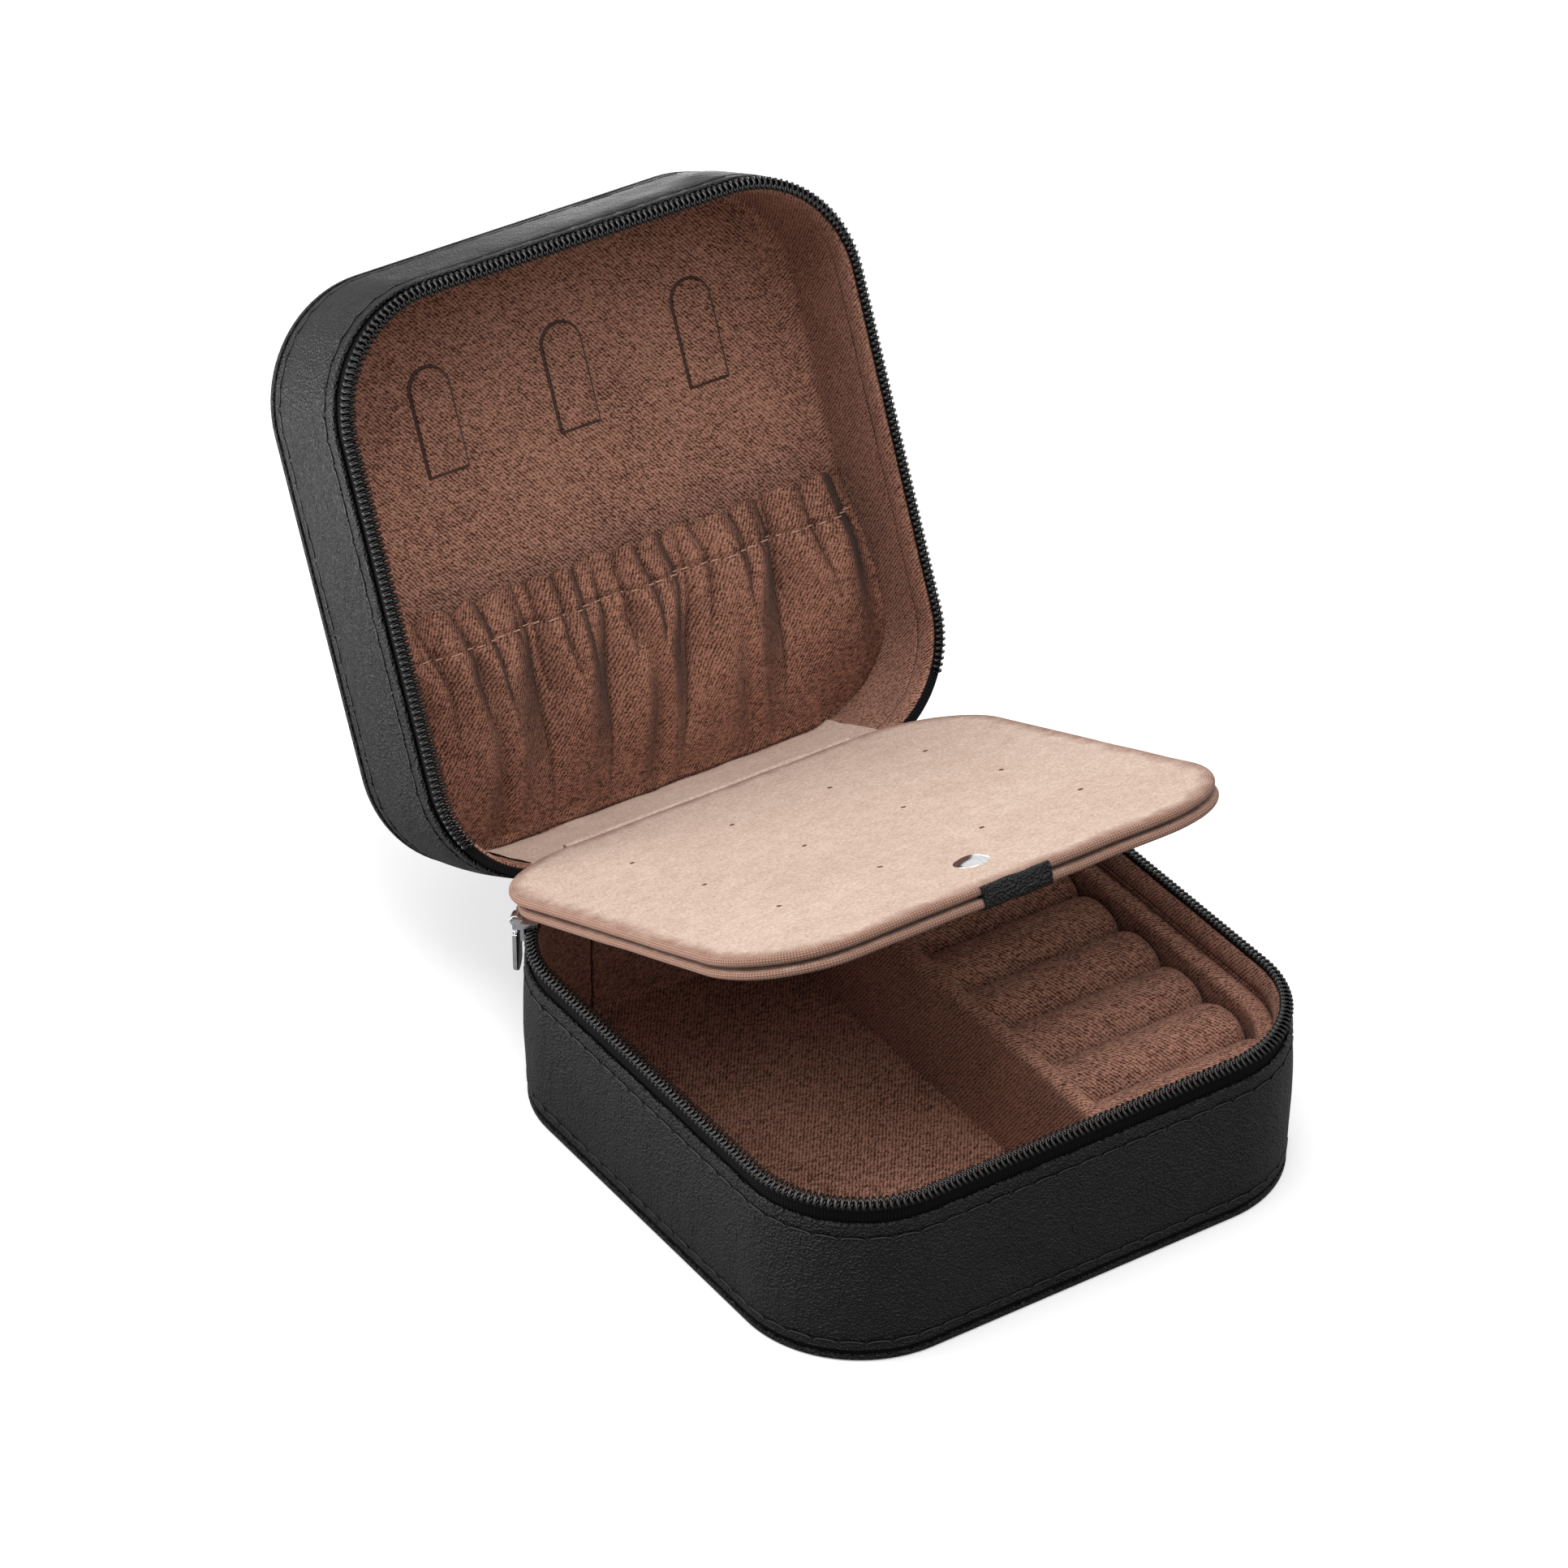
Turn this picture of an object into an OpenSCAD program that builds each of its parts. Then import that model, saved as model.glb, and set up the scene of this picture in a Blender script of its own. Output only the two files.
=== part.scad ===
// Zip-round travel jewelry box: a soft-sided case with a hinged lid, a fold-down
// earring flap, necklace hooks, an elastic pocket and a ring cushion.
// Millimetres. Origin: centre of the underside. X along the lid hinge, -Y is the
// front, +Y the hinge side, +Z up. The lid stands open and the flap is folded down.

/* [Body] */
// outside width along the hinge
body_w = 100; // [80:0.5:150]
// outside depth, front to hinge side
body_d = 101; // [80:0.5:150]
// outside plan corner radius
corner_r = 21; // [12:0.5:30]
// height of the plane where lid and base meet
seam_h = 31; // [26:0.5:45]
// lid height above that plane
lid_h = 26.5; // [24:0.5:45]
// lid opening angle in the stored pose
lid_open = 114; // [90:1:120]

/* [Shell] */
// leather thickness
leather_t = 0.8; // [0.6:0.1:1.5]
// stiffening board thickness
board_t = 1.2; // [0.8:0.1:2.5]
// lining thickness
lining_t = 0.5; // [0.4:0.1:1]
// leather panel thickness, top and bottom
panel_t = 1.2; // [1:0.1:2]
// height of the groove between a side band and its panel
welt_h = 0.7; // [0.4:0.1:1.5]
// how far the groove is set in
welt_in = 0.3; // [0.2:0.05:0.5]
// radius of the rolled edge of each side band
roll_r = 0.4; // [0.3:0.05:0.4]
// pad thickness on the floor and inside the lid
pad_t = 1.2; // [0.8:0.1:3]

/* [Zipper] */
// distance from the band edges to the meeting plane
band_back = 4; // [3:0.1:6]
// zipper tape thickness
tape_t = 0.6; // [0.4:0.05:1]
// clearance between the leather and the tape
tape_gap = 0.05; // [0.05:0.05:0.3]
// coil width across the rail
coil_w = 2; // [1.4:0.1:3]
// coil height
coil_h = 1.2; // [0.8:0.1:2]
// how far the coil is set in from the outside
coil_in = 0.2; // [0.1:0.05:1]
// gap between the two coils when closed
coil_gap = 0.3; // [0.2:0.05:0.6]
// angle that the base coil runs round each rear corner
coil_turn = 56; // [45:1:70]
// angle at which the lid coil stops, ahead of the parked slider
lid_coil_turn = 30; // [10:1:40]
// angle of the parked slider round the left rear corner
slider_park = 44; // [35:1:50]
// slider length as an angle round the corner
slider_span = 15; // [10:1:20]
// slider wall thickness
slider_t = 0.6; // [0.4:0.05:1]
// slider running clearance
slider_gap = 0.2; // [0.15:0.05:0.4]
// slider top plate thickness
slider_top_t = 0.9; // [0.6:0.1:1.2]
// how far the slider lip reaches under the coil
slider_lip = 0.5; // [0.3:0.05:0.6]
// slider lip thickness
slider_lip_t = 0.8; // [0.6:0.1:1]
// zipper pull length
pull_len = 10; // [8:0.5:20]
// zipper pull width
pull_w = 4; // [3:0.5:6]
// zipper pull thickness
pull_t = 0.8; // [0.6:0.1:1.2]
// pin radius that carries the pull
pull_pin_r = 0.35; // [0.25:0.05:0.5]
// clearance round that pin
pull_gap = 0.2; // [0.15:0.05:0.4]
// distance of that pin from the slider wall
pull_reach = 1.0; // [1:0.1:2]

/* [Lid hinge] */
// hinge axis outside the back face
hinge_out = 0.4; // [0:0.1:1]
// hinge axis below the meeting plane
hinge_down = 2.2; // [1.5:0.1:3]
// gap between the two halves of the spine
spine_gap = 0.7; // [0.5:0.1:1]

/* [Inside] */
// height of the padded rim lip
lip_h = 3.5; // [2.5:0.1:5]
// divider left face, from the middle
divider_x = 6; // [0:0.5:20]
// divider thickness
divider_t = 3; // [2:0.1:5]
// divider top below the rim lip
divider_drop = 4; // [3:0.1:12]
// ring roll radius
ring_roll_r = 5.6; // [4:0.1:7]
// distance between roll centres
ring_roll_pitch = 11.6; // [9:0.1:15]
// number of rolls behind the first groove
ring_roll_n = 7; // [5:1:8]
// first groove between rolls, from the front lining
ring_groove_y = 13.2; // [11:0.1:15]
// top of the rolls below the divider top
ring_roll_drop = 2; // [1:0.1:6]
// ledge width beside the roll ends
tray_ledge_w = 3.4; // [2:0.1:5]
// ledge top below the divider top
tray_ledge_drop = 1.5; // [0:0.1:6]
// clearance round the ring cushion
tray_gap = 0.3; // [0.2:0.05:1]

/* [Lid inside] */
// hook tab width
hook_w = 7.3; // [5:0.1:10]
// hook tab length
hook_len = 17.8; // [12:0.1:24]
// hook tab thickness
hook_t = 0.9; // [0.6:0.1:1.5]
// hook tab gap to the pad
hook_gap = 0.15; // [0.1:0.05:0.4]
// distance between hook tabs
hook_pitch = 25.5; // [18:0.5:30]
// sideways shift of the three tabs
hook_shift = 2.9; // [0:0.1:5]
// hook tab root, measured towards the hinge from the middle
hook_root_y = -15.2; // [-25:0.1:-5]
// pocket mouth, measured towards the hinge from the middle
pocket_y = 5.6; // [-5:0.1:20]
// pocket depth behind its front sheet
pocket_depth = 6.2; // [5:0.1:9]
// pocket sheet thickness
pocket_t = 0.7; // [0.5:0.1:1.5]
// elastic casing radius at the pocket mouth
elastic_r = 0.9; // [0.6:0.1:1.5]

/* [Earring flap] */
// flap width clearance to the lid lining on each side
flap_side_gap = 0.4; // [0.3:0.05:1.5]
// flap axis from the lid back lining
flap_axis_in = 1.35; // [1.2:0.05:2]
// flap axis above the meeting plane when closed
flap_axis_up = 3.5; // [3.4:0.05:5]
// tilt of the folded-down flap, front edge up
flap_tilt = 22; // [18:0.5:30]
// flap front edge clearance to the lid front lining
flap_front_gap = 1.1; // [1:0.05:2]
// earring board core thickness
flap_core_t = 1; // [0.8:0.1:2]
// fabric cover thickness
cover_t = 0.3; // [0.2:0.05:0.5]
// backing board core thickness
backing_core_t = 0.8; // [0.6:0.1:1.5]
// gap between the two boards
leaf_gap = 0.6; // [0.5:0.05:1]
// how far the backing board stands out in front
backing_out = 0.2; // [0:0.05:0.4]
// distance from the axis to the earring board
board_back = 1.1; // [1:0.1:2]
// distance from the axis to the backing board
backing_back = 3; // [2.6:0.1:6]
// radius of the stitched hinge bead
bead_r = 0.8; // [0.6:0.05:1]
// hinge band thickness on the lid lining
hinge_band_t = 0.4; // [0.3:0.05:0.5]
// hinge band height on the lid lining
hinge_band_h = 7; // [4:0.5:12]
// distance from each rounded corner to the hinge bead and band
hinge_band_side = 1; // [1:0.5:9]
// earring hole diameter
hole_d = 1; // [0.6:0.1:2]
// distance between earring holes across the width
hole_pitch_x = 19.1; // [12:0.1:25]
// distance between earring hole rows
hole_pitch_y = 23.1; // [15:0.1:28]
// distance from the front edge to the first row
hole_front = 25.4; // [20:0.1:30]
// sideways shift of the hole grid
hole_shift = 1; // [0:0.1:3]
// snap cap diameter
snap_d = 6; // [5:0.1:9]
// snap cap height
snap_h = 0.9; // [0.5:0.1:1.5]
// snap from the front edge
snap_front = 12.2; // [9:0.1:15]
// snap shank diameter
snap_shank_d = 1.6; // [1.2:0.1:2.4]
// snap socket diameter
snap_socket_d = 4.4; // [3:0.1:6]
// snap stud clearance
snap_gap = 0.3; // [0.2:0.05:0.4]
// pull tab width
tab_w = 13; // [8:0.5:20]
// pull tab leather thickness
tab_t = 0.5; // [0.3:0.05:0.5]
// pull tab reach over the backing board
tab_reach = 5; // [3:0.5:8]

/* [Colours] */
// black leather
col_leather = "#26262a"; // color
// zipper tape
col_tape = "#161618"; // color
// zipper coil
col_coil = "#101012"; // color
// brown lining
col_lining = "#6b483a"; // color
// beige flap fabric
col_beige = "#d9bfae"; // color
// stiffening board
col_board = "#9a8d7c"; // color
// polished metal
col_metal = "#c9ccd0"; // color

/* [Hidden] */
$fn = 64;
lid_top = seam_h + lid_h;
wall_in = leather_t + board_t + lining_t;
half_w = body_w / 2;
half_d = body_d / 2;
corner_x = half_w - corner_r;
corner_y = half_d - corner_r;
band_top = seam_h - band_back;
core_top = band_top - 1;
floor_z = panel_t + board_t;
floor_top = floor_z + pad_t;
lip_out = 1.6;
lip_top = core_top + lip_h;
coil_top = seam_h - coil_gap / 2;
coil_bot = coil_top - coil_h;
tape_out = leather_t + tape_gap;
divider_h = lip_top - divider_drop - floor_top;
ring_roll_top = divider_h - ring_roll_drop;
tray_ledge_h = divider_h - tray_ledge_drop;
hinge_y = half_d + hinge_out;
hinge_z = seam_h - hinge_down;
spine_w = 2 * corner_x - 1;
hinge_band_w = 2 * (corner_x - hinge_band_side);
in_w = body_w - 2 * wall_in;
in_d = body_d - 2 * wall_in;
in_r = corner_r - wall_in;
in_y = half_d - wall_in;
in_x = half_w - wall_in;
edge_z = roll_r;
// lid inner levels, closed
lid_pad_z = lid_top - floor_top;
// flap
flap_y = in_y - flap_axis_in;
flap_z = seam_h + flap_axis_up;
flap_swing = lid_open - flap_tilt;
flap_half_w = in_x - flap_side_gap;
flap_front = flap_y + in_y - flap_front_gap;
flap_r = in_r - flap_side_gap;
flap_top = flap_core_t / 2 + cover_t;
backing_top = -flap_top - leaf_gap;
backing_t = backing_core_t + 2 * cover_t;
backing_front = flap_front + backing_out;
// ring cushion
cushion_x0 = divider_x + divider_t + tray_gap / 2;
cushion_x1 = in_x - tray_ledge_w - tray_gap;
groove_0 = -in_y + ring_groove_y;
roll_z = floor_top + ring_roll_top - ring_roll_r;
// slider
coil_r1 = corner_r - coil_in;
coil_r0 = coil_r1 - coil_w;
slider_r = coil_r1 + slider_gap + slider_t;
slider_top = coil_top + slider_gap + slider_top_t;
pin_r_pos = slider_r + pull_reach;
pin_z = slider_top - slider_top_t;
eye_r = pull_pin_r + pull_gap + 0.45;
cut = 0.02;

// ---- shared plan shapes ----

module round_rect(w, d, r) {
    square([w - 2 * r, d], center = true);
    square([w, d - 2 * r], center = true);
    for (x = [-w / 2 + r, w / 2 - r])
        for (y = [-d / 2 + r, d / 2 - r])
            translate([x, y])
                circle(r);
}

module plan(inset) {
    round_rect(body_w - 2 * inset, body_d - 2 * inset, corner_r - inset);
}

module slab(inset, z0, z1) {
    translate([0, 0, z0])
        linear_extrude(z1 - z0)
            plan(inset);
}

module ring(outer, inner, z0, z1) {
    translate([0, 0, z0])
        linear_extrude(z1 - z0)
            difference() {
                plan(outer);
                plan(inner);
            }
}

// round bead that follows the plan outline
module bead(inset, z, r) {
    for (k = [0:3])
        translate([(k == 0 || k == 3 ? 1 : -1) * corner_x, (k < 2 ? 1 : -1) * corner_y, z])
            rotate([0, 0, 90 * k])
                rotate_extrude(angle = 90)
                    translate([corner_r - inset, 0])
                        circle(r, $fn = 16);
    for (s = [-1, 1]) {
        translate([-corner_x, s * (half_d - inset), z])
            rotate([0, 90, 0])
                cylinder(h = 2 * corner_x, r = r, $fn = 16);
        translate([s * (half_w - inset), corner_y, z])
            rotate([90, 0, 0])
                cylinder(h = 2 * corner_y, r = r, $fn = 16);
    }
}

// plan region from the front round to an angle on each rear corner
module zip_region(turn) {
    reach = 2 * corner_r;
    translate([-body_w, -body_d])
        square([2 * body_w, body_d + corner_y]);
    for (s = [-1, 1])
        translate([s * corner_x, corner_y])
            polygon([
                [0, -cut],
                [s * reach, -cut],
                [s * reach, reach * tan(turn / 2)],
                [s * reach * cos(turn), reach * sin(turn)]
            ]);
}

module zip_ring(outer, inner, z0, z1, turn) {
    translate([0, 0, z0])
        linear_extrude(z1 - z0)
            intersection() {
                difference() {
                    plan(outer);
                    plan(inner);
                }
                zip_region(turn);
            }
}

// places closed-pose lid geometry at its open rest
module in_lid() {
    translate([0, hinge_y, hinge_z])
        rotate([-lid_open, 0, 0])
            translate([0, -hinge_y, -hinge_z])
                children();
}

// turns base-style geometry over into the closed lid
module upper() {
    translate([0, 0, 2 * seam_h])
        mirror([0, 0, 1])
            children();
}

// flap frame: axis on X, the flap runs to -Y, its face looks to +Z
module in_flap() {
    in_lid()
        translate([0, flap_y, flap_z])
            rotate([flap_swing, 0, 0])
                children();
}

// ---- shells shared by base and lid, drawn as a base ----

// outer panel with a softened outer edge
module panel_skin(z0) {
    slab(edge_z, z0, z0 + edge_z);
    slab(0, z0 + edge_z, z0 + panel_t);
    bead(edge_z, z0 + edge_z, edge_z);
}

module welt_skin(z0) {
    ring(welt_in, leather_t, z0 + panel_t, z0 + panel_t + welt_h);
}

module side_skin(z0) {
    ring(0, leather_t, z0 + panel_t + welt_h, band_top - roll_r);
    bead(roll_r, band_top - roll_r, roll_r);
}

module tape_skin() {
    zip_ring(tape_out, tape_out + tape_t, core_top, coil_bot, coil_turn);
}

module lip_skin(z1) {
    ring(lip_out, wall_in, core_top, z1 - roll_r);
    ring(lip_out + 0.1, wall_in - 0.1, z1 - roll_r, z1 - roll_r / 3);
    ring(lip_out + 0.25, wall_in - 0.25, z1 - roll_r / 3, z1);
}

// ---- base ----

module base_bottom_leather() color(col_leather) panel_skin(0);

module base_welt() color(col_tape) welt_skin(0);

module base_side_leather() color(col_leather) side_skin(0);

module base_bottom_board() color(col_board) slab(leather_t, panel_t, floor_z);

module base_side_core() color(col_board) ring(leather_t, leather_t + board_t, floor_z, core_top);

module base_wall_lining() color(col_lining)
    ring(leather_t + board_t, wall_in, floor_z, core_top);

module base_floor_pad() color(col_lining) slab(wall_in, floor_z, floor_top);

module base_rim_lip() color(col_lining) lip_skin(lip_top);

module base_zipper_tape() color(col_tape) tape_skin();

module base_zipper_coil() color(col_coil)
    zip_ring(coil_in, coil_in + coil_w, coil_bot, coil_top, coil_turn);

module hinge_spine_base() color(col_leather)
    translate([-spine_w / 2, half_d - leather_t, band_top])
        cube([spine_w, leather_t, hinge_z - spine_gap / 2 - band_top]);

module divider() color(col_lining) {
    round_r = divider_t / 2;
    body_h = divider_h - round_r;
    translate([divider_x, -in_y, floor_top])
        cube([divider_t, 2 * in_y, body_h]);
    translate([divider_x + round_r, in_y, floor_top + body_h])
        rotate([90, 0, 0])
            cylinder(h = 2 * in_y, r = round_r, $fn = 32);
}

// outline that keeps the cushion clear of the lining and ledge
module cushion_plan() {
    intersection() {
        plan(wall_in + tray_ledge_w + tray_gap);
        translate([cushion_x0, -body_d / 2])
            square([body_w, body_d]);
    }
    intersection() {
        plan(wall_in + tray_gap);
        translate([cushion_x0, -body_d / 2])
            square([corner_x - cushion_x0, body_d]);
    }
}

module ring_rolls() color(col_lining)
    intersection() {
        union() {
            translate([cushion_x0, -in_y, floor_top])
                cube([body_w, 2 * in_y, roll_z - floor_top - ring_roll_r / 2]);
            for (k = [-1:ring_roll_n - 1])
                translate([cushion_x0, groove_0 + (k + 0.5) * ring_roll_pitch, roll_z])
                    rotate([0, 90, 0])
                        cylinder(h = body_w, r = ring_roll_r, $fn = 40);
        }
        translate([0, 0, floor_top])
            linear_extrude(seam_h)
                cushion_plan();
    }

// padded ledge between the roll ends and the side lining
module tray_ledge() color(col_lining)
    translate([0, 0, floor_top])
        linear_extrude(tray_ledge_h)
            intersection() {
                difference() {
                    plan(wall_in);
                    plan(wall_in + tray_ledge_w);
                }
                translate([corner_x + tray_gap, -body_d / 2])
                    square([body_w, body_d]);
            }

// ---- lid ----

module lid_top_leather() color(col_leather) in_lid() upper() panel_skin(2 * seam_h - lid_top);

module lid_welt() color(col_tape) in_lid() upper() welt_skin(2 * seam_h - lid_top);

module lid_side_leather() color(col_leather) in_lid() upper() side_skin(2 * seam_h - lid_top);

module lid_top_board() color(col_board) in_lid()
    slab(leather_t, lid_top - floor_z, lid_top - panel_t);

module lid_side_core() color(col_board) in_lid()
    ring(leather_t, leather_t + board_t, 2 * seam_h - core_top, lid_top - floor_z);

module lid_wall_lining() color(col_lining) in_lid()
    ring(leather_t + board_t, wall_in, 2 * seam_h - core_top, lid_top - floor_z);

module lid_back_pad() color(col_lining) in_lid()
    slab(wall_in, lid_pad_z, lid_top - floor_z);

module lid_rim_lip() color(col_lining) in_lid() upper() lip_skin(lip_top);

module lid_zipper_tape() color(col_tape) in_lid() upper() tape_skin();

module lid_zipper_coil() color(col_coil) in_lid() upper()
    zip_ring(coil_in, coil_in + coil_w, coil_bot, coil_top, lid_coil_turn);

module hinge_spine_lid() color(col_leather) in_lid()
    translate([-spine_w / 2, half_d - leather_t, hinge_z + spine_gap / 2])
        cube([spine_w, leather_t, 2 * seam_h - band_top - hinge_z - spine_gap / 2]);

module flap_hinge_band() color(col_lining) in_lid()
    translate([-hinge_band_w / 2, in_y - hinge_band_t, flap_z - bead_r])
        cube([hinge_band_w, hinge_band_t, hinge_band_h]);

module pocket_plan() {
    intersection() {
        plan(wall_in);
        translate([-body_w / 2, pocket_y])
            square([body_w, body_d]);
    }
}

// pocket front sheet with closed ends
module elastic_pocket() color(col_lining) in_lid()
    translate([0, 0, lid_pad_z - pocket_depth - pocket_t])
        linear_extrude(pocket_t)
            pocket_plan();

module pocket_elastic() color(col_lining) in_lid()
    translate([-in_x, pocket_y - elastic_r, lid_pad_z - pocket_depth - pocket_t / 2])
        rotate([0, 90, 0])
            cylinder(h = 2 * in_x, r = elastic_r, $fn = 24);

// arched tab lying under the lid pad, root towards the hinge
module hook(n) {
    arch = hook_w / 2;
    in_lid()
        translate([hook_shift + n * hook_pitch, hook_root_y, lid_pad_z - hook_gap - hook_t])
            linear_extrude(hook_t) {
                translate([-arch, arch - hook_len])
                    square([hook_w, hook_len - arch]);
                translate([0, arch - hook_len])
                    circle(arch);
            }
}

module necklace_hook_left() color(col_lining) hook(-1);

module necklace_hook_middle() color(col_lining) hook(0);

module necklace_hook_right() color(col_lining) hook(1);

// ---- earring flap ----

module flap_plan(half, back, front, r) {
    translate([0, -(back + front) / 2])
        round_rect(2 * half, front - back, r);
}

module flap_hinge_strip() color(col_lining) in_flap()
    translate([-hinge_band_w / 2, 0, 0])
        rotate([0, 90, 0])
            cylinder(h = hinge_band_w, r = bead_r, $fn = 24);

module hole_grid() {
    for (i = [-1.5:1:1.5])
        for (j = [0:2])
            translate([hole_shift + i * hole_pitch_x, -flap_front + hole_front + j * hole_pitch_y])
                circle(d = hole_d, $fn = 16);
}

module at_snap() translate([0, -flap_front + snap_front]) children();

module earring_board_core() color(col_board) in_flap()
    translate([0, 0, -flap_core_t / 2])
        linear_extrude(flap_core_t)
            difference() {
                flap_plan(flap_half_w - cover_t, board_back + cover_t, flap_front - cover_t, flap_r - cover_t);
                hole_grid();
                at_snap() circle(d = snap_socket_d);
            }

module earring_board_cover() color(col_beige) in_flap() {
    for (z = [-flap_top, flap_core_t / 2])
        translate([0, 0, z])
            linear_extrude(cover_t)
                difference() {
                    flap_plan(flap_half_w, board_back, flap_front, flap_r);
                    hole_grid();
                    at_snap() circle(d = z > 0 ? snap_shank_d : snap_socket_d);
                }
    translate([0, 0, -flap_core_t / 2])
        linear_extrude(flap_core_t)
            difference() {
                flap_plan(flap_half_w, board_back, flap_front, flap_r);
                flap_plan(flap_half_w - cover_t, board_back + cover_t, flap_front - cover_t, flap_r - cover_t);
            }
}

// domed cap with a shank through the cover
module snap_cap() color(col_metal) in_flap()
    translate([0, -flap_front + snap_front, 0]) {
        sphere_r = (pow(snap_d / 2, 2) + pow(snap_h, 2)) / (2 * snap_h);
        translate([0, 0, flap_top])
            intersection() {
                translate([0, 0, snap_h - sphere_r])
                    sphere(sphere_r, $fn = 96);
                cylinder(h = snap_h, d = snap_d);
            }
        translate([0, 0, flap_core_t / 2])
            cylinder(h = cover_t, d = snap_shank_d);
    }

module snap_socket() color(col_metal) in_flap()
    translate([0, -flap_front + snap_front, 0])
        difference() {
            translate([0, 0, -flap_top])
                cylinder(h = flap_top + flap_core_t / 2, d = snap_socket_d);
            translate([0, 0, -flap_top - cut])
                cylinder(h = flap_top + cut, d = snap_shank_d + 2 * snap_gap);
        }

module backing_board_core() color(col_board) in_flap()
    translate([0, 0, backing_top - cover_t - backing_core_t])
        linear_extrude(backing_core_t)
            flap_plan(flap_half_w - cover_t, backing_back + cover_t, backing_front - cover_t, flap_r - cover_t);

module backing_board_cover() color(col_beige) in_flap() {
    for (z = [backing_top - cover_t, backing_top - backing_t])
        translate([0, 0, z])
            linear_extrude(cover_t)
                flap_plan(flap_half_w, backing_back, backing_front, flap_r);
    translate([0, 0, backing_top - cover_t - backing_core_t])
        linear_extrude(backing_core_t)
            difference() {
                flap_plan(flap_half_w, backing_back, backing_front, flap_r);
                flap_plan(flap_half_w - cover_t, backing_back + cover_t, backing_front - cover_t, flap_r - cover_t);
            }
}

// disc on the backing board with a post that enters the socket
module snap_stud() color(col_metal) in_flap()
    translate([0, -flap_front + snap_front, backing_top]) {
        cylinder(h = leaf_gap / 2, d = snap_socket_d);
        cylinder(h = leaf_gap + flap_top - snap_gap, d = snap_shank_d);
    }

// leather loop folded over the front edge of the backing board
module pull_tab() color(col_leather) in_flap()
    translate([-tab_w / 2, 0, 0]) {
        translate([0, -backing_front, backing_top])
            cube([tab_w, tab_reach, leaf_gap - 0.15]);
        translate([0, -backing_front - tab_t, backing_top - backing_t - tab_t])
            cube([tab_w, tab_t, backing_t + tab_t + leaf_gap - 0.15]);
        translate([0, -backing_front, backing_top - backing_t - tab_t])
            cube([tab_w, tab_reach, tab_t]);
    }

// ---- zipper slider ----

module at_corner(angle) {
    translate([-corner_x, corner_y, 0])
        rotate([0, 0, 180 - angle])
            children();
}

// channel that hooks over the coil from outside, with two lugs for the pull
module zipper_slider() color(col_metal) {
    at_corner(slider_park + slider_span / 2)
        rotate_extrude(angle = slider_span) {
            translate([coil_r0, slider_top - slider_top_t])
                square([slider_r - coil_r0, slider_top_t]);
            translate([slider_r - slider_t, coil_bot - slider_gap - slider_lip_t])
                square([slider_t, slider_top - coil_bot + slider_gap + slider_lip_t]);
            translate([slider_r - slider_t - slider_lip, coil_bot - slider_gap - slider_lip_t])
                square([slider_lip + slider_t, slider_lip_t]);
        }
    at_corner(slider_park) {
        for (s = [-1, 1])
            translate([slider_r - slider_t / 2, s * (pull_w / 4 + pull_gap) - (s < 0 ? slider_t : 0), pin_z - eye_r])
                cube([pull_reach + slider_t / 2 + pull_pin_r, slider_t, 2 * eye_r]);
        translate([pin_r_pos, pull_w / 4 + pull_gap + slider_t / 2, pin_z])
            rotate([90, 0, 0])
                cylinder(h = pull_w / 2 + 2 * pull_gap + slider_t, r = pull_pin_r, $fn = 24);
    }
}

module zipper_pull() color(col_metal) at_corner(slider_park) {
    difference() {
        union() {
            translate([pin_r_pos, pull_w / 4, pin_z])
                rotate([90, 0, 0])
                    cylinder(h = pull_w / 2, r = eye_r, $fn = 32);
            translate([pin_r_pos - pull_t / 2, -pull_w / 4, pin_z - eye_r - 1])
                cube([pull_t, pull_w / 2, eye_r + 1]);
        }
        translate([pin_r_pos, pull_w / 2, pin_z])
            rotate([90, 0, 0])
                cylinder(h = pull_w, r = pull_pin_r + pull_gap, $fn = 24);
    }
    translate([pin_r_pos - pull_t / 2, 0, pin_z - eye_r - 1])
        rotate([0, 90, 0])
            linear_extrude(pull_t) {
                translate([0, -pull_w / 2])
                    square([pull_len - eye_r - pull_w / 2 - 1, pull_w]);
                translate([pull_len - eye_r - pull_w / 2 - 1, 0])
                    circle(d = pull_w);
            }
}

base_bottom_leather();
base_welt();
base_side_leather();
base_bottom_board();
base_side_core();
base_wall_lining();
base_floor_pad();
base_rim_lip();
base_zipper_tape();
base_zipper_coil();
hinge_spine_base();
divider();
ring_rolls();
tray_ledge();
lid_top_leather();
lid_welt();
lid_side_leather();
lid_top_board();
lid_side_core();
lid_wall_lining();
lid_back_pad();
lid_rim_lip();
lid_zipper_tape();
lid_zipper_coil();
hinge_spine_lid();
flap_hinge_band();
elastic_pocket();
pocket_elastic();
necklace_hook_left();
necklace_hook_middle();
necklace_hook_right();
flap_hinge_strip();
earring_board_core();
earring_board_cover();
snap_cap();
snap_socket();
backing_board_core();
backing_board_cover();
snap_stud();
pull_tab();
zipper_slider();
zipper_pull();
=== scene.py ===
"""Dresses the zip-round jewelry box.

Leather shells, zipper, suede lining, ring rolls, gathered pocket and earring flap.
"""
import math

import bmesh
import bpy
import numpy as np
from mathutils import Matrix, Vector


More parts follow.
